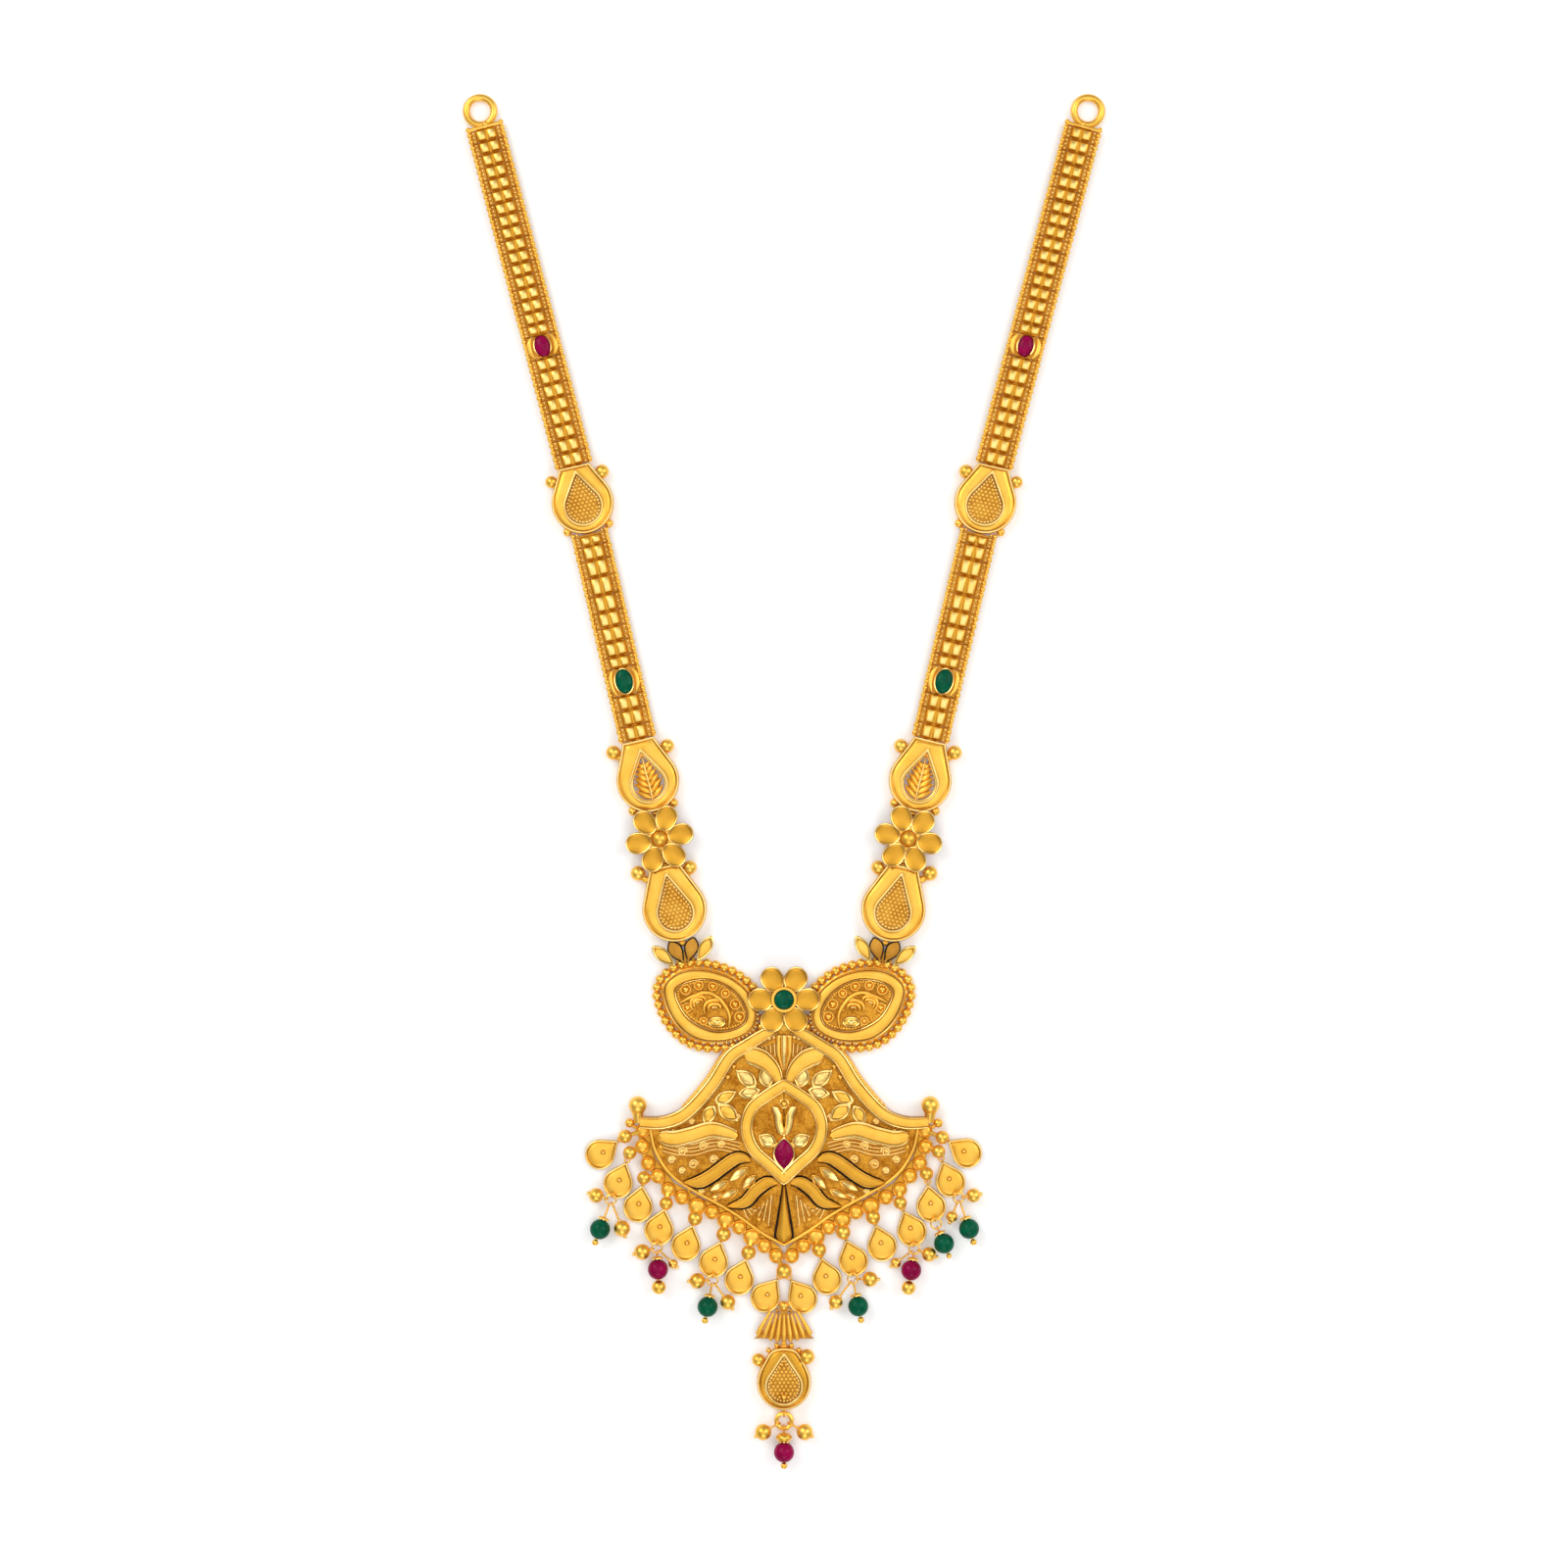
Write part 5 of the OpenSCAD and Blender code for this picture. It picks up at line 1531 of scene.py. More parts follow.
@dataclass
class Wings(SubAssembly):
    """The two wings beside the centre flower: a beaded rim, a band and a filled recess."""

    spot: Pair = (-14.04, -41.22)
    middle: Pair = (0.9, 0.0)
    eye: Pair = (10.14, 0.96)
    bowl: Pair = (1.75, -2.95)
    outer: Line = (
        (-8.2, 2.9), (-5.6, 6.0), (-1.3, 6.8), (4.0, 5.4), (7.7, 2.4), (9.0, -1.0), (8.2, -4.4),
        (3.5, -6.5), (-2.4, -6.1), (-6.5, -2.5))
    inner: Line = (
        (-5.6, 3.0), (-2.9, 4.5), (1.2, 4.6), (5.0, 2.4), (7.1, -1.2), (6.0, -3.7), (1.5, -4.5),
        (-3.0, -2.5), (-5.2, 0.5))
    ridge: Line = ((-5.1, 0.6), (-2.4, 1.9), (0.0, 2.5), (2.3, 1.2), (4.0, -1.6), (3.9, -4.0))
    knobs: Spots = (
        (-4.0, 3.0, 0.8), (-1.6, 3.8, 0.7), (1.0, 3.6, 0.7), (3.3, 2.3, 0.65), (5.1, 0.3, 0.8),
        (5.9, -2.0, 0.8), (-3.7, -0.3, 0.7), (-0.7, -2.8, 0.6))
    roses: tuple[tuple[float, float, float, float], ...] = ((-1.7, 0.5, 40, 1.5), (1.3, -0.5, 10, 1.95))
    # The rose's curls: reach, width, height and finish, lighter as they rise, as painted highlight
    petals: tuple[tuple[float, float, float, Finish], ...] = (
        (1.0, 0.75, 1.7, SATIN), (0.58, 0.7, 1.85, POLISHED), (0.2, 0.55, 1.98, PALE))

    def grown(self, reach: float, steps: int) -> Array:
        """Returns the wing's outline grown outwards by a reach."""
        loop = smooth_path(self.outer, steps, closed=True)
        return loop + sides_of(loop, closed=True) * reach

    def body(self, shape: Jeweller) -> None:
        """Adds the wing's flange, wall, rims, crowned band and sunk ground, with its eye.

        Args:
            shape: The shape, at the wing's spot.
        """
        outer, inner = (radial(smooth_path(line, 8, closed=True), self.middle)
                        for line in (self.outer, self.inner))
        centre = pts(self.middle)
        flange = outer + unit(outer - centre) * 0.35
        rings = [centre, flange, flange, outer]
        rings += [mix(outer, inner, s) for s in (0, 0.05, 0.1, 0.15, 0.22, 0.5, 0.8, 0.87, 0.93, 0.98, 1)]
        rings += [mix(inner, centre, 0.4), centre]
        heights = [0.2, 0.2, 1.0, 1.15, 1.85, 2.08, 2.0, 1.84, 1.94, 2.0, 1.94, 1.84, 2.02, 1.95, 1.1, 1.05,
                   1.05]
        # Painted highlight on the outer rim and the inner lip; painted shade on the wall and the lines beside
        # them; the sunk ground is the darker struck gold
        shape.loft(rings, heights, [SATIN, SATIN, SATIN, BRONZE, PALE, PALE, BRONZE, BRONZE, SATIN, SATIN,
                                    BRONZE, BRONZE, PALE, BRONZE, GROUND, GROUND])
        x, y = self.eye
        shape.lathe([(0.6, 0), (1.0, 0), (1.0, 0.5), (0.9, 0.55), (0.6, 0.55), (0.6, 0)], (x, y, 1.15))
        shape.box((7.6, x - 0.5), (y - 0.6, y + 0.6), (1.15, 1.68))

    def rim(self, shape: Jeweller) -> None:
        """Adds the row of large beads round the wing, and a row of granules inside it.

        Args:
            shape: The shape, at the wing's spot.
        """
        ring = np.roll(radial(self.grown(1.15, 6), self.middle, 360), -205, axis=0)[:322]
        shape.balls(raised(evened(ring, 32), 0.95), 0.86, POLISHED, 20)
        line = self.grown(0.22, 3)
        line = np.vstack([line, line[:1]])
        small = read_off(line, (0.4 + 0.78 * np.arange(66)) % lengths(line)[-1])
        small = small[(small[:, 0] > 1.0) & (small[:, 1] < 1.5)]
        # The granules are painted highlights
        shape.balls(raised(small, 1.45), 0.27, PALE, 8)

    def recess(self, shape: Jeweller) -> None:
        """Fills the recess: a ridge arch, knobs, a rose of two curled petals and fine granules.

        Args:
            shape: The shape, at the wing's spot.
        """
        ridge = smooth_path(self.ridge)
        # The ridge's walls are painted shade
        shape.ribbon(ridge, 0.8 * along(len(ridge), 0.5, 0.5), 0.95, 0.95, SATIN, BRONZE)
        for x, y, radius in self.knobs:
            shape.ball((x, y, 1.15), radius * 0.85, POLISHED, 18)
            # A ring of painted shade round each knob
            shape.ring((x, y, 1.08), radius + 0.36, 0.16, BRONZE, steps=20)
            shape.ring((x, y, 1.3), radius + 0.08, 0.18, steps=20)
        bow = np.linspace(-0.5, 3.5, 18)
        arch = stacked(np.cos(bow), 0.85 * np.sin(bow))
        for x, y, turn, size in self.roses:
            for reach, wide, top, finish in self.petals:
                shape.at(x, y, turn).ribbon(size * reach * arch, wide * along(len(arch), 0.4, 0.4), 0.95,
                                            top - 0.95, finish, BRONZE)
        bowl = shape.at(*self.bowl)
        # The bowl's rim and middle are painted highlights, with painted shade round them
        bowl.dish(ellipse(2.1, 3.3, 28), (0.95, 1.8), 0.26, POLISHED, 0.3)
        bowl.mound(ellipse(0.9, 1.6, 20), 1.2, 1.5, 1.8, PALE, BRONZE)
        border = inset(turned_left(smooth_path(self.inner, 8, closed=True)), 0.32)
        shape.balls(raised(evened(border, 60, closed=True), 1.2), 0.24, SATIN, 6)

    def shapes(self) -> dict[str, Shape]:
        """Returns the shapes of the two wings."""
        made: dict[str, Shape] = {}
        for side in Side:
            made[f"wing_{side.value}"] = shape = blank("beaded_wing_{}", side)
            for add in (self.body, self.rim, self.recess):
                add(shape.at(*self.spot))
            shape.at(*STOPS["bud"]).cross_wire(-0.25, 1.0, 1.0)
        return made


# Pendant


@dataclass
class Pendant(SubAssembly):
    """The pendant: centre flower, shoulder bands, scrolls, the central drop frame and the spike."""

    flower_y: float = -39.96
    stone_y: float = -68.2
    spike_y: float = -83.1
    petal: Petal = Petal(4.85, 4.3, 0.07 / 2.4, 2.12, 0.24, (2.7, 3.35), 40)
    shoulder: Line = (
        (-1.5, -45.3), (-3.4, -46.3), (-6.8, -48.4), (-9.9, -50.6), (-13.2, -55.7),
        (-17.8, -60.7), (-22.0, -62.5), (-26.4, -62.5))
    rim: Line = ((-24.6, -63.2), (-23.4, -68.2), (-19.6, -73.1), (-9.9, -78.7), (-4.3, -82.6), (0, -85.0))
    frame: Line = (
        (0, -55.6), (-3.0, -57.5), (-5.65, -59.6), (-6.8, -62.3), (-6.7, -65.0), (-5.4, -67.7),
        (-2.7, -70.2), (0, -72.8))
    comma: Line = ((-7.3, -50.1), (-5.0, -50.5), (-2.9, -51.8), (-1.5, -53.6), (-0.8, -55.4))
    upper_leaf: Line = ((-22.9, -64.9), (-20.3, -65.5), (-16.9, -64.8), (-13.0, -63.8), (-8.4, -65.0))
    middle_leaf: Line = ((-6.2, -69.4), (-8.8, -69.1), (-13.4, -72.3), (-15.7, -73.4), (-18.4, -73.5))
    lower_leaf: Line = ((-1.2, -73.5), (-3.1, -73.5), (-5.2, -75.0), (-7.2, -77.1), (-10.4, -77.9))
    small_leaves: Rows = (
        (-5.1, -55.9, 141, 4.1, 2.2), (-2.7, -56.2, 107, 3.5, 2.3),
        (-4.4, -56.7, 190, 3.5, 2.0), (-12.7, -58.9, 27, 3.9, 1.9),
        (-12.1, -59.3, -37, 4.1, 2.3), (-12.9, -59.4, -116, 3.4, 2.0))
    long_leaves: Rows = (
        (-6.4, -70.7, 216, 5.2, 2.0), (-10.0, -73.2, 208, 4.8, 1.8),
        (-5.0, -72.1, 224, 4.4, 1.9), (-8.2, -74.8, 206, 4.4, 1.7),
        (-11.0, -75.6, 198, 3.2, 1.3))
    strands: Line = ((-8.4, -68.1), (-12.4, -67.3), (-16.2, -68.3), (-19.4, -68.3), (-22.2, -67.6))
    curls: Spots = (
        (-18.6, -67.9, 0.85), (-14.8, -66.9, 0.8), (-16.6, -70.2, 0.85), (-11.5, -66.6, 0.7),
        (-12.9, -69.3, 0.75), (-20.6, -69.4, 0.7), (-18.7, -71.4, 0.6), (-15.2, -75.3, 0.55),
        (-12.6, -76.7, 0.45), (-8.6, -61.6, 0.6), (-9.4, -57.3, 0.5), (-16.9, -62.4, 0.5))
    knobs: Spots = ((-9.2, -52.3, 0.55), (-10.3, -54.2, 0.6), (-20.3, -64.0, 0.45), (-12.3, -58.9, 0.5))

    def band(self, shape: Jeweller, path: Array, width: Any, z: Point, edge: float = 0.2,
             middle: Finish = SATIN, rim: Finish = PALE) -> None:
        """Adds a scroll or band with a thin raised rim on both edges.

        Args:
            shape: The shape to add to.
            path: The middle line.
            width: The width, one or one a point.
            z: The lowest and highest heights.
            edge: A rim's width as a share of the half width.
            middle: The finish between the rims.
            rim: The finish of the rims.
        """
        height = z[1] - z[0]
        # The rims default to painted highlight; the walls and the lines inside them are painted shade
        shape.sweep(path, width, z[0], height, Profile.rimmed(middle, rim, edge, 0.14 / height))

    def ground(self, shape: Jeweller) -> None:
        """Adds the hammered back plate that the scrolls stand on."""
        half = np.vstack([[[0, -45.9]], smooth_path(self.shoulder), smooth_path(self.rim)])
        # The back plate's top is the darker struck gold of painted shade
        shape.slab(turned_left(mirror_closed(half)), (0.9, 1.5), GROUND)

    def edges(self, shape: Jeweller) -> None:
        """Adds one half's shoulder band with its trim, the lower rim, and the ball at the corner.

        Args:
            shape: The shape, in its half.
        """
        path = smooth_path(self.shoulder, 8)
        count, side = len(path), sides_of(path)
        self.band(shape, path, 2.45 * along(count, 0.75, 0.85), (0.1, 2.6))
        # A line of painted shadow along the shoulder band's inner side
        shape.ribbon((path + side * 1.4)[6:-6], 0.5, 1.4, 0.22, BRONZE)
        trim = (path - side * 1.32)[count * 7 // 18:count * 13 // 18]
        shape.ribbon(trim, 0.85 * along(len(trim), 0.5, 0.5), 0.3, 1.35, SATIN)
        # The trim's beads are painted highlights
        shape.balls(raised(evened(trim, 15), 1.62), 0.26, PALE, 8)
        shape.ribbon(smooth_path(self.rim, 8), 0.66, 0.92, 1.1, SATIN, BRONZE, 0.3)
        shape.ball((-26.8, -59.4, 1.68), 1.66, POLISHED, 28)
        shape.tube([(-26.8, -60.3, 1.5), (-26.75, -61.4, 1.5), (-26.6, -62.6, 1.5)], [1.25, 0.95, 0.9],
                   POLISHED, 12)
        shape.ribbon(pts([(-27.4, -61.9), (-26.6, -62.3), (-25.4, -61.6)]), 0.5, 0.9, 1.2, SATIN)
        x, y = -3.9, self.flower_y - 0.3
        shape.box((x, 0), (y - 0.9, y + 0.9), (0.1, 1.05))
        shape.lathe([(0, 0), (0.93, 0), (0.93, 0.95), (0.45, 0.95), (0.45, 1.5), (0.38, 1.55), (0, 1.55)],
                    (x, y, 0.1))

    def scrolls(self, shape: Jeweller) -> None:
        """Adds one half's comma, large leaves with black lines of painted shadow beside them, and small leaves.

        Args:
            shape: The shape, in its half.
        """
        comma, upper = smooth_path(self.comma, 10), smooth_path(self.upper_leaf, 10)
        swell = np.interp(np.linspace(0, 1, len(comma)), [0, 0.35, 0.7, 1], [3.6, 3.7, 2.6, 1.1])
        self.band(shape, comma, rounded(comma, swell), (1.2, 2.5), 0.16)
        self.band(shape, upper, rounded(upper, 3.2 * along(len(upper), 0.8, 0.5)), (1.3, 2.45))
        for line, width in ((self.middle_leaf, 2.3), (self.lower_leaf, 2.15)):
            path = smooth_path(line, 8)
            wide = width * along(len(path), 0.35, 0.1)
            # The middle of these leaves is painted shade, their rims satin
            self.band(shape, path, wide, (1.2, 2.38), 0.14, AMBER, SATIN)
            # Black painted shadow along both sides of the leaf, wider on one side
            for sign, groove in ((1, 0.55 * 1.15), (-1, 0.55 * 0.5)):
                edge = path + sides_of(path) * sign * (wide / 2 + 0.12)[:, None]
                shape.ribbon(edge, groove * along(len(path), 0.2, 0.2), 1.3, 0.62, ENAMEL)
        for x, y, turn, length, width in self.small_leaves:
            # The small leaves' middles near the centre are painted highlights
            shape.at(x, y, turn - 90).blade(leaf(length * 1.15, width * 1.2, 32, 0.9, 0.8), (1.3, 2.25),
                                            PALE if x > -8 else SATIN, 0.26, 0.16)
        # The long leaves' middles are painted highlights
        for x, y, turn, length, width in self.long_leaves:
            shape.at(x, y, turn - 90).blade(leaf(length, width, 24), (1.3, 2.0), PALE, 0.12, 0.35, SATIN)

    def wires(self, shape: Jeweller) -> None:
        """Adds one half's waving strands, pleats, curls and knobs.

        Args:
            shape: The shape, in its half.
        """
        strand = smooth_path(self.strands, 5)
        for k in range(8):
            wave = 1.52 + 0.05 * np.sin(np.arange(len(strand)) * 1.7 + k)
            line = strand - sides_of(strand) * (0.33 * k - 0.5)
            # The strands alternate between painted highlight and painted shade
            shape.tube(raised(line, wave), 0.14, PALE if k % 2 else BRONZE, 6)
        t = np.linspace(0, 1, 10)
        for k in range(14):
            x = -1.9 - 0.36 * k - (0.5 + 0.1 * k) * t
            y = (0.42 * k - 81.9) * t - (75.6 + 0.36 * k) * (1 - t)
            wave = 1.52 + 0.05 * np.sin(t * 9 + k)
            # The strands alternate between painted highlight and painted shade
            shape.tube(stacked(x, y, wave), 0.15, PALE if k % 2 else BRONZE, 6)
        share = np.linspace(0, 1, 26)
        turn = 3.2 * math.pi * share
        for x, y, radius in self.curls:
            reach = radius * (1 - 0.72 * share)
            curl = stacked(x + reach * np.cos(turn), y + reach * np.sin(turn), 1.5 + 0.28 * share)
            # A ring of painted shade round each curl, whose wire is a painted highlight
            shape.ring((x, y, 1.48), radius + 0.24, 0.15, BRONZE, steps=20)
            shape.tube(curl, 0.19, PALE, 6)
            shape.ball((x, y, 1.72), 0.28, POLISHED, 8)
        for x, y, radius in self.knobs:
            shape.ball((x, y, 1.75), radius, POLISHED, 14)

    def heart(self, shape: Jeweller) -> None:
        """Adds the central drop: rimmed band, grained plate, draped leaves and the marquise bezel.

        Args:
            shape: The shape to add to.
        """
        path = mirror_closed(smooth_path(self.frame))[::-1]
        shape.sweep(path, 2.25, 0.95, 1.85, Profile.rimmed(SATIN, PALE, 0.18, 0.07), closed=True)
        shape.slab(inset(turned_left(path), 0.7), (1.45, 1.62), GROUND)
        drape = smooth_path([(-2.0, -59.5), (-1.15, -61.1), (-0.95, -63.0), (-0.35, -64.8)], 7)
        for half in (shape, shape.on(RIGHT)):
            # Drapes and leaves in painted highlight, with walls in painted shade
            half.ribbon(drape, rounded(drape, 1.6), 1.5, 1.0, PALE, BRONZE, 0.7)
            half.at(-1.4, -66.7, 62).blade(leaf(3.7, 2.6, 28, 1.0, 0.75), (1.5, 2.4), PALE, 0.22, 0.2)
        shape.ball((0, -59.1, 1.8), 0.6, POLISHED, 16)
        # The ring and the small ball are painted highlights
        shape.ring((0, -59.1, 1.7), 0.75, 0.14, PALE, steps=16, sides=8)
        shape.ball((0, -64.9, 2.1), 0.42, PALE, 12)
        outlines = [lens(5.4 + grow, 3.4 + wide) for grow, wide in ((1.2, 0.9), (0.75, 0.6), (0.2, 0.12))]
        shape.at(0, self.stone_y).collet(*outlines, (1.3, 2.45, 2.7, 2.6, 1.83))

    def neck(self, shape: Jeweller) -> None:
        """Adds the fluted stamen below the flower, the pleats beside it, and the flower's seat.

        Args:
            shape: The shape to add to.
        """
        y = np.linspace(-46.6, -52.9, 12)
        taper = np.interp(y, [-52.9, -50], [0.3, 1.0])
        # The middle flute is a painted highlight
        for x, size, finish in ((0, 0.62, PALE), (-1.05, 0.48, POLISHED), (1.05, 0.48, POLISHED)):
            shape.tube(stacked(x * taper, y, 1.8), size * taper, finish, 10)
        for k in range(7):
            for x in (-1.75 - 0.4 * k, 1.75 + 0.4 * k):
                pleat = [(x, -48.06 - 0.12 * k, 1.62), (x * 0.93, -50.4 + 0.28 * k, 1.55)]
                # The pleats alternate between painted shade and painted highlight
                shape.tube(pleat, 0.15, BRONZE if k % 2 else PALE, 6)
        for x in (-3.6, -2.7, -1.9, -0.9, 0, 0.9, 1.9, 2.7, 3.6):
            # The row of balls is a painted highlight
            shape.ball((x, -46.7 - 0.06 * x * x, 2.0), 0.4, PALE, 12)
        shape.lathe([(0.72, 0), (2.7, 0), (2.7, 0.95), (0.72, 0.95), (0.72, 0)], (0, self.flower_y, 0.1),
                    steps=32)
        shape.box((-1.9, 1.9), (-46.8, self.flower_y - 1.5), (0.1, 1.05))

    def spike(self, shape: Jeweller) -> None:
        """Adds the long club, in the darker satin of painted shade, between the lowest leaves inside a groove of
        black painted shade.

        Args:
            shape: The shape to add to.
        """
        spot, club = shape.at(0, self.spike_y), drop(1.38, 9.1, 0.14)
        spot.mound(drop(1.84, 9.3, 0.3), 1.2, 1.85, 1.85, ENAMEL, middle=(0, 0))
        rings = [(0, 0), club, club] + [mix(club, club * [0.0, 0.88], s) for s in (0.2, 0.5, 0.8, 1.0)]
        spot.loft(rings, [1.3, 1.3, 2.1, 2.35, 2.55, 2.63, 2.65], AMBER)

    def flower(self, shape: Jeweller) -> None:
        """Adds the six petals, their hollows in painted shade, and the bezel of the round emerald, whose floor
        is painted shade.

        Args:
            shape: The shape to add to.
        """
        spot = shape.at(0, self.flower_y)
        spot.petals(0, 4.2, self.petal)
        bezel = [(0, 0), (2.5, 0), (2.5, 1.45), (2.3, 1.68), (2.05, 1.62), (1.85, 1.66), (1.8, 1.1), (0, 1.1)]
        spot.lathe(bezel, (0, 0, 1.8), [SATIN] * 6 + [BRONZE], 40)
        spot.lathe([(0, 0), (0.6, 0), (0.6, 1.9), (0, 1.9)], (0, 0, 0.1))

    def marquise(self, shape: Shape) -> None:
        """Adds the cut marquise: pavilion, girdle, eight crown facets a side and a table.

        Args:
            shape: The shape to add to.
        """
        t = np.linspace(-1, 1, 9)
        girdle = mirror_closed(stacked(1.7 * (1 - t**2), 2.7 * t))
        rings = [girdle * share for share in (0, 0.8, 1, 1, 0.55, 0)]
        shape.at(0, self.stone_y).loft(rings, [1.85, 1.85, 2.35, 2.5, 3.2, 3.2], RUBY)

    def shapes(self) -> dict[str, Shape]:
        """Returns the shapes of the pendant, its flower and its two stones."""
        body, flower = Jeweller("pendant_scrollwork"), Jeweller("centre_petals")
        emerald, ruby = Shape("round_emerald_stone"), Shape("marquise_ruby_stone")
        for half in (body, body.on(RIGHT)):
            for add in (self.edges, self.scrolls, self.wires):
                add(half)
        for add in (self.ground, self.heart, self.neck, self.spike):
            add(body)
        self.flower(flower)
        self.marquise(ruby)
        emerald.lathe([(0, 0), (1.76, 0), *quarter(10, 1.76, 0.7, 0.3)], (0, self.flower_y, 2.9), EMERALD, 48)
        return {"pendant_body": body, "centre_flower": flower, "emerald_round": emerald,
                "ruby_marquise": ruby}


# Fringe


@dataclass(frozen=True)
class Disc:
    """A teardrop disc: the place and lean of its dot, and the radius and distance of its knot."""

    x: float
    y: float
    lean: float
    knot: float
    reach: float

    def up(self, length: float) -> Array:
        """Returns the point at a length from the disc's dot towards its tip."""
        return polar((self.x, self.y), length, 90 - self.lean)

    @property
    def centre(self) -> Array:
        """Returns the middle of the disc's round part."""
        return self.up(-0.7)


@dataclass(frozen=True)
class Cluster:
    """A hanging cluster: its jump ring, gold balls and coloured bead with its end ball."""

    balls: Spots
    bead: Pair
    tail: float
    gap: float = 0.1
    size: float = 0.95
    wire: float = 0.15
    z: float = 1.4


@dataclass
class Fringe(SubAssembly):
    """The cups below the rim, the teardrop discs and the clusters of balls and coloured beads."""

    cups: Spots = (
        (-25.9, -64.1, 1.25), (-26.0, -67.0, 1.25), (-24.9, -70.1, 1.25), (-23.1, -72.4, 1.25),
        (-21.2, -74.9, 1.25), (-18.7, -76.3, 1.25), (-15.9, -78.0, 1.55), (-13.2, -79.0, 1.25),
        (-10.7, -80.5, 1.45), (-8.2, -81.8, 1.25), (-5.9, -83.6, 1.5), (-3.6, -85.2, 1.25),
        (-1.4, -87.05, 1.25))
    discs: dict[Side, tuple[Disc, ...]] = field(default_factory=lambda: {
        Side.LEFT: (
            Disc(-33.2, -68.1, 53.5, 1.1, 5.1), Disc(-30.2, -73.2, 21, 1.1, 5.5),
            Disc(-26.65, -77.55, 11.5, 1.1, 5.0), Disc(-22.75, -81.75, 15, 1.25, 4.6),
            Disc(-17.8, -84.7, 18, 1.35, 4.9), Disc(-12.7, -87.7, 19, 1.35, 5.0),
            Disc(-8.0, -90.9, 18, 1.35, 4.85), Disc(-3.05, -94.2, 33.8, 0, 5.4)),
        Side.RIGHT: (
            Disc(-33.0, -67.9, 56.6, 1.1, 4.8), Disc(-30.3, -72.95, 21.4, 1.1, 5.5),
            Disc(-26.9, -77.43, 8.2, 1.1, 5.6), Disc(-23.2, -82.0, 21.9, 1.25, 5.2),
            Disc(-17.8, -84.7, 17, 1.35, 5.1), Disc(-12.5, -87.4, 19, 1.35, 5.1),
            Disc(-7.7, -90.8, 14.4, 1.35, 5.2), Disc(-3.05, -94.4, 32, 0, 5.4))})
    clusters: dict[str, tuple[int, float, Cluster]] = field(default_factory=lambda: {
        "left_outer": (1, -114, Cluster(((-34.45, -75.95, 1.35), (-29.7, -82.0, 1.5)), (-33.7, -82.1), 0.6)),
        "left_middle": (3, -97, Cluster(((-26.0, -86.3, 1.45), (-20.35, -88.55, 0.85)), (-23.1, -89.45), 1.3)),
        "left_inner": (5, -93, Cluster(((-15.9, -91.6, 1.45), (-10.3, -95.5, 1.4)), (-14.0, -96.3), 0.6)),
        "right_inner": (5, -88, Cluster(((-15.8, -91.3, 1.4), (-9.5, -95.5, 1.3)), (-13.6, -96.2), 0.6)),
        "right_middle": (3, -98, Cluster(((-26.6, -86.75, 1.35), (-20.5, -88.4, 0.95)), (-23.3, -89.6), 1.3)),
        "right_hidden": (2, -106, Cluster((), (-29.3, -84.7), 0.5)),
        "right_outer": (1, -118, Cluster(((-34.75, -75.95, 1.3), (-30.8, -79.9, 1.05)), (-33.9, -82.0), 0.6))})
    last: Cluster = Cluster(((-3.8, -119.3, 1.5), (3.8, -119.3, 1.5)), (0, -122.95), 0.62, -0.02, 1.4, 0.4, 0.9)
    rivets: Line = ((-22.6, -67.0), (-15.4, -73.6), (-4.6, -80.3))
    corner: Pair = (-28.3, -62.7)
    knot: Pair = (0, -89.7)
    bead: float = 1.86
    bead_z: float = 1.92
    hole: float = 0.33

    def near(self, spot: Point) -> Array:
        """Returns the cup's middle that is nearest to a spot."""
        spots = pts(self.cups)[:, :2]
        return spots[np.linalg.norm(spots - pts(spot), axis=1).argmin()]

    def loop(self, shape: Jeweller, disc: Disc, knot: Point, radius: float) -> None:
        """Adds the standing loop that holds a disc's eye, with its pin to the knot.

        Args:
            shape: The shape, in its half.
            disc: The disc.
            knot: The knot's middle.
            radius: The knot's radius.
        """
        x, y = disc.up(4.5)
        shape.ring((x, y, 0.62), 0.43, 0.15, standing=90 - disc.lean)
        shape.tube([(x, y, 1.05), (*knot, 1.0 + radius)], 0.3)

    def cup_row(self, shape: Jeweller, discs: Sequence[Disc]) -> None:
        """Adds one half's cups on their two rails, with the discs' knots and the rivets.

        Args:
            shape: The shape, in its half.
            discs: The discs that hang from it, from the outer one.
        """
        spots = pts(self.cups)[:, :2]
        shape.ribbon(spots, 1.3, 0.1, 0.62, SATIN, rise=0.1)
        # The outer rail is the darker satin of painted shade
        shape.ribbon(spots + sides_of(spots) * 0.8, 1.5, 0.1, 0.8, AMBER, rise=0.1)
        for x, y, size in self.cups:
            r = size + 0.14
            # Each cup's rim is a painted highlight and the line inside it painted shade
            wall = [(0, 0.3), (r * 0.75, 0.3), (r - 0.02, 0.9), (r, 1.7), (r - 0.12, 1.88), (r - 0.27, 1.74),
                    (r - 0.44, 1.56)]
            shape.lathe([*wall, *quarter(6, r - 0.46, 0.34, 1.56)], (x, y, 0),
                        [SATIN] * 3 + [PALE] * 2 + [AMBER] + [SATIN] * 6, 28)
        for disc in discs:
            knot, top = disc.up(disc.reach), 1.0 + disc.knot
            shape.ball((*knot, top), max(disc.knot, 1.25), POLISHED, 24)
            shape.tube([(*knot, top), (*self.near(knot), 1.3)], 0.4)
            self.loop(shape, disc, knot, disc.knot)
        shape.ball((*self.corner, 1.2), 0.85, POLISHED)
        shape.tube(raised([self.corner, (-26.3, -64.1)], 1.2), 0.3)
        for spot in self.rivets:
            shape.tube(raised([self.near(spot), spot], 0.42), 0.3)
            shape.lathe([(0, 0), (0.7, 0), (0.7, 0.65), (0.3, 0.65), (0.3, 1.75), (0, 1.85)], (*spot, 0.1),
                        steps=16)

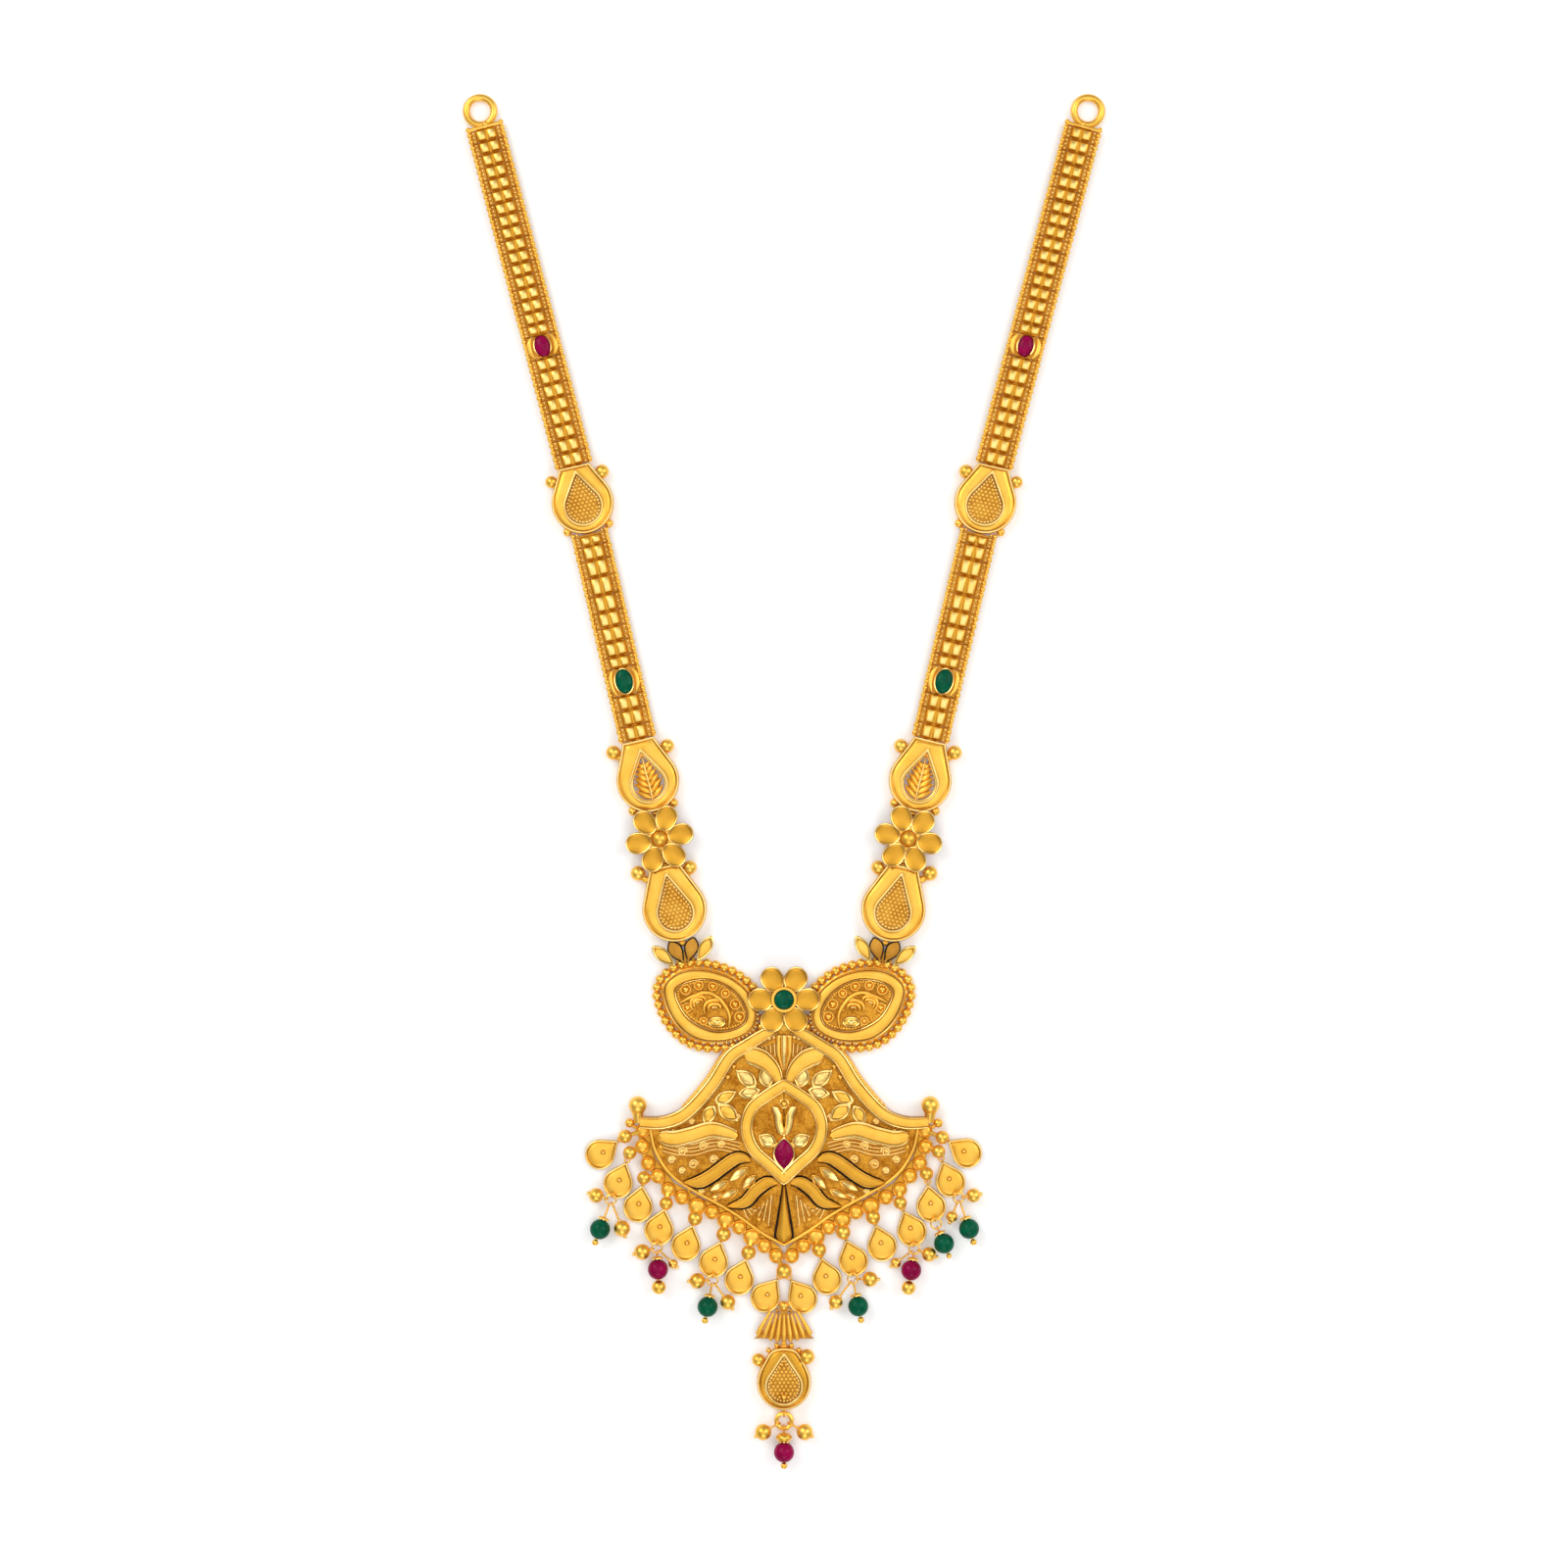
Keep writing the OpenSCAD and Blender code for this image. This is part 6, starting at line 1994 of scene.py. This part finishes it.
    def disc(self, shape: Jeweller) -> None:
        """Adds one teardrop disc: a thin raised rim in painted highlight round a satin face, with a line of
        painted shade inside the rim, and a dot in painted highlight ringed with painted shade.

        Args:
            shape: The shape, at the disc's dot.
        """
        outline, face, line = (drop(radius, top, 0.1, -0.7)
                               for radius, top in ((2.75, 4.1), (2.45, 3.6), (2.24, 3.28)))
        shape.ribbon(inset(outline, 0.18), 0.36, 0.3, 0.88, PALE, BRONZE, 0.25, closed=True)
        middle = pts((0, -0.5))
        rings = [middle, face, face, line, mix(line, middle, 0.1), mix(line, middle, 0.5), middle]
        shape.loft(rings, [0.32, 0.32, 0.88, 0.78, 0.88, 0.94, 0.96], [SATIN, BRONZE, BRONZE] + [SATIN] * 3)
        shape.ring((0, 0, 0.92), 0.44, 0.1, AMBER, steps=16)
        shape.ball((0, 0, 0.98), 0.36, PALE, 12)
        shape.ring((0, 4.0, 0.62), 0.5, 0.15, steps=16)

    def hanger(self, shape: Jeweller, middle: Array, angle: float) -> None:
        """Adds the loop on a disc's face that holds a cluster's jump ring.

        Args:
            shape: The shape, in its half.
            middle: The disc's middle.
            angle: The heading to the ring in degrees.
        """
        x, y = polar(middle, 2.2, angle)
        shape.ring((x, y, 1.4), 0.43, 0.15, standing=angle)
        shape.lathe([(0, 0), (0.32, 0), (0.32, 0.42), (0, 0.42)], (x, y, 0.6), steps=10)

    def hang(self, shape: Jeweller, cluster: Cluster, ring: Point) -> None:
        """Adds one cluster: a jump ring with gold balls and the wirework of one coloured bead.

        Args:
            shape: The shape, in its half.
            cluster: The cluster.
            ring: The jump ring's middle.
        """
        reach, size, z = 0.28 + cluster.wire, cluster.size, cluster.z
        shape.ring((*ring, z), size, cluster.wire, POLISHED, steps=28, sides=8)
        for x, y, radius in cluster.balls:
            spot, angle = pts((x, y, radius + 0.05)), heading(ring, (x, y))
            start = pts((*polar(ring, size + reach, angle), z))
            away = unit(spot - start)
            shape.ring((*polar(ring, size, angle), z), reach, 0.15, POLISHED, angle)
            shape.tube([start, spot], 0.18, sides=6)
            shape.ball(spot, radius, POLISHED, 28)
            # Small balls in painted highlight at both ends of each gold ball
            shape.ball(spot + away * (radius + 0.12), 0.38, PALE, 12)
            shape.ball(spot - away * (radius - 0.05), 0.36, PALE, 12)
        bead, angle, high = cluster.bead, heading(ring, cluster.bead), self.bead_z
        start, neck, cap, end = (polar(spot, length, angle) for spot, length in (
            (ring, size + reach), (bead, -self.bead - 0.5), (bead, -self.bead - 0.12),
            (bead, self.bead + cluster.tail + cluster.gap)))
        shape.ring((*polar(ring, size, angle), z), reach, 0.15, POLISHED, angle)
        shape.tube([(*start, z), (*neck, high)], 0.18, sides=6)
        shape.tube(raised([neck, end], high), 0.2, sides=6)
        shape.tube(raised([neck, mix(neck, cap, 0.4), cap], high), [0.6, 1.0, 1.02], POLISHED, 14)
        for turn in rounds(8):
            # The balls round the cap are painted highlights
            side = polar(cap, 0.92 * math.cos(turn), angle + 90)
            shape.ball((*side, high + 0.92 * math.sin(turn)), 0.2, PALE, 6)
        shape.ball((*end, high), cluster.tail, POLISHED, 24)

    def stone(self, shape: Shape, finish: Finish) -> Shape:
        """Adds one coloured bead: a ball turned about its drilled line, with the hole in it.

        Args:
            shape: The shape, at the bead's middle and turned back along its hole.
            finish: The bead's finish.

        Returns:
            The same shape.
        """
        edge = math.asin(self.hole / self.bead)
        bow = np.append(np.linspace(edge, math.pi - edge, 21), edge)[:, None]
        turn = rounds(36)
        reach = self.bead * np.sin(bow)
        points = stacked(self.bead * np.cos(bow), reach * np.cos(turn), self.bead_z + reach * np.sin(turn))
        shape.grid(points, finish, across=True)
        return shape

    def shapes(self) -> dict[str, Shape]:
        """Returns the shapes of the cup rows, discs, clusters and coloured beads."""
        made: dict[str, Any] = {}
        for side, rows in self.discs.items():
            made[f"cup_row_{side.value}"] = cups = blank("cup_fringe_{}", side)
            made[f"discs_{side.value}"] = discs = blank("teardrops_{}", side)
            self.cup_row(cups, rows[:-1])
            for disc in rows:
                self.disc(discs.at(disc.x, disc.y, -disc.lean))
            angle = heading(FAN_EYE, rows[-1].centre)
            spot = polar(FAN_EYE, 0.5, angle)
            discs.ring((*spot, 0.62), 0.43, 0.15, standing=angle)
            discs.tube(raised([polar(spot, reach, angle) for reach in (0.43, 0.93)], 0.62), 0.2)
        centre = made["cup_row_left"]
        centre.ball((*self.knot, 2.4), 1.44, POLISHED, 28)
        centre.tube([(*self.knot, 2.4), (-1.4, -87.05, 1.2)], 0.45)
        for side, rows in self.discs.items():
            self.loop(centre.on(side.place), rows[-1], self.knot, 1.2)
        for name, (index, angle, cluster) in self.clusters.items():
            side = Side(name.split("_")[0])
            middle = self.discs[side][index].centre
            ring = polar(middle, 3.15, angle)
            self.hanger(made[f"discs_{side.value}"], middle, angle)
            made[f"cluster_{name}"] = gold = blank(f"cluster_{name}_gold", side)
            self.hang(gold, cluster, ring)
            stone = blank(f"{name}_stone", side).at(*cluster.bead, heading(ring, cluster.bead) + 180)
            made[f"bead_{name}"] = self.stone(stone, RUBY if name.endswith("middle") else EMERALD)
        made["lower_cluster"] = gold = Jeweller("last_cluster_gold")
        self.hang(gold, self.last, LAST_RING)
        t = np.linspace(0, 1, 12)
        line = stacked(0, -119.4 - 1.68 * t, self.bead_z)
        gold.tube(line, 0.5 + 0.95 * np.sin(math.pi * t) ** 0.55, POLISHED, 20)
        made["ruby_bead"] = self.stone(Shape("last_ruby_stone").at(*self.last.bead, 90), RUBY)
        return made


@dataclass
class LowerDrop(SubAssembly):
    """The fluted fan and the small drop frame that hang below the discs."""

    spot: Pair = (0, -110.3)
    # The band's middle is the darker satin of painted shade
    plate: Plate = Plate(5.05, 6.5, 2.2, 3.1, 4.9, ((-4.7, 4.2, 1.08), (4.2, 4.8, 1.3)), hangs=False,
                         middle=AMBER)
    granules: Spots = ((-1.35, 6.85, 1.3), (1.35, 6.85, 1.3), (-2.85, 5.95, 1.3), (2.75, 6.0, 1.3))

    def fan(self, shape: Jeweller) -> None:
        """Adds the fan: nine round ribs that spread from a knob, over a plain back in painted shade.

        Args:
            shape: The shape to add to.
        """
        back = [(-0.5, -96.6), (-0.7, -98.2), (-5.5, -102.2), (5.5, -102.2), (0.7, -98.2), (0.5, -96.6)]
        # The back between the ribs is painted shade
        shape.mound(turned_left(pts(back)), 0.9, 1.45, 1.5, BRONZE, middle=(0, -100.5))
        y = np.linspace(-5.2, -9.85, 10)
        rib = stacked(0, y, 1.72)
        for k in range(-4, 5):
            spot = shape.at(0, -92.6, k * 7.2)
            spot.tube(rib, np.interp(y, [-9.85, -9.2, -5.2], [0.4, 0.52, 0.24]), SATIN, 12)
            spot.ball((0, -9.75, 1.6), 0.5, SATIN, 12)
        shape.ball((0, -96.2, 1.4), 0.95, POLISHED, 24)
        for x in (-FAN_EYE[0], FAN_EYE[0]):
            shape.ring((x, FAN_EYE[1], 0.62), 0.5, 0.15)
        shape.box((-0.5, 0.5), (-102.2, -96.6), (0.4, 1.2))
        shape.sleeve(self.spot[1] + 6.6)
        shape.box((-0.4, 0.4), (self.spot[1] + 7.0, -102.1), (0.15, 1.1))

    def shapes(self) -> dict[str, Shape]:
        """Returns the shapes of the fan and the small drop frame."""
        fan, low = Jeweller("fluted_fan"), Jeweller("small_drop_frame")
        self.fan(fan)
        frame = low.at(*self.spot)
        self.plate.add(frame)
        frame.ball((0, -2.6, 1.5), 0.6, POLISHED, 16)
        frame.balls(self.granules, 0.5, POLISHED, 12)
        low.ring((0, LAST_RING[1] + 1.4, 0.9), 0.68, 0.15, standing=90, steps=16)
        return {"fan_link": fan, "lower_drop": low}


# Studio


@dataclass(frozen=True)
class Studio:
    """The pale floor, the soft lights and the camera straight above, in metres."""

    lens_mm: float = 85.0
    height: float = 0.68
    shift_y: float = -0.00054
    floor_half: float = 1.6
    world_strength: float = 0.42
    lamps: tuple[tuple[str, Triple, float, float], ...] = (
        ("panel", (0.0, 0.0, 1.3), 1.0, 2.9), ("key", (-0.66, 0.55, 0.78), 0.7, 4.8),
        ("fill", (0.75, 0.25, 0.72), 0.7, 3.6), ("back", (0.05, -0.85, 0.66), 0.6, 2.6))

    def floor(self) -> None:
        """Adds the pale floor just under the necklace."""
        mesh = bpy.data.meshes.new("floor")
        size = self.floor_half
        mesh.from_pydata([(-size, -size, 0), (size, -size, 0), (size, size, 0), (-size, size, 0)], [],
                         [(0, 1, 2, 3)])
        floor = linked("floor", mesh)
        mesh.materials.append(NodeBoard("pale_floor").shaded({
            "Base Color": (0.96, 0.96, 0.96, 1.0), "Roughness": 0.6, "Specular IOR Level": 0.15,
            "Emission Color": (1.0, 1.0, 1.0, 1.0), "Emission Strength": 0.1}))

    def lamp(self, name: str, spot: Triple, size: float, power: float) -> None:
        """Adds a square soft lamp that faces the necklace.

        Args:
            name: The lamp's name.
            spot: Its place.
            size: Its width.
            power: Its power in watts.
        """
        data = bpy.data.lights.new(name, "AREA")
        data.shape = "SQUARE"
        data.size, data.energy = size, power
        lamp = linked(name, data)
        lamp.location = spot
        lamp.rotation_mode = "QUATERNION"
        lamp.rotation_quaternion = self.turn_down(-np.array(spot))

    @staticmethod
    def turn_down(aim: Array) -> Array:
        """Returns the quaternion that points a lamp's -Z along a line, which isn't straight up."""
        x, y, z = unit(aim)
        return unit(np.array([1 - z, y, -x, 0.0]))

    def build(self) -> None:
        """Builds the whole studio."""
        self.floor()
        world = bpy.data.worlds.new("studio")
        bpy.context.scene.world = world
        world.use_nodes = True
        world.node_tree.nodes["Background"].inputs[0].default_value = (1.0, 1.0, 1.0, 1.0)
        world.node_tree.nodes["Background"].inputs[1].default_value = self.world_strength
        for lamp in self.lamps:
            self.lamp(*lamp)
        camera = bpy.data.cameras.new("camera")
        camera.lens, camera.sensor_width, camera.clip_start = self.lens_mm, 36.0, 0.01
        view = linked("camera", camera)
        view.location = (0, self.shift_y, self.height)
        bpy.context.scene.camera = view
        bpy.context.scene.view_settings.view_transform = "Standard"


def main() -> None:
    """Loads the model, dresses each sub-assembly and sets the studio."""
    logging.basicConfig(level=logging.INFO, format="%(message)s")
    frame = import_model()
    slots = {part["node"]: part["material_slot"] for part in frame["record"]["subparts"]}
    total = sum(kind(slots).dress() for kind in (Straps, Stations, Wings, Pendant, Fringe, LowerDrop))
    LOG.info("%d pieces for %d nodes", total, len(frame["nodes"]))
    Studio().build()


if __name__ == "__main__":
    main()
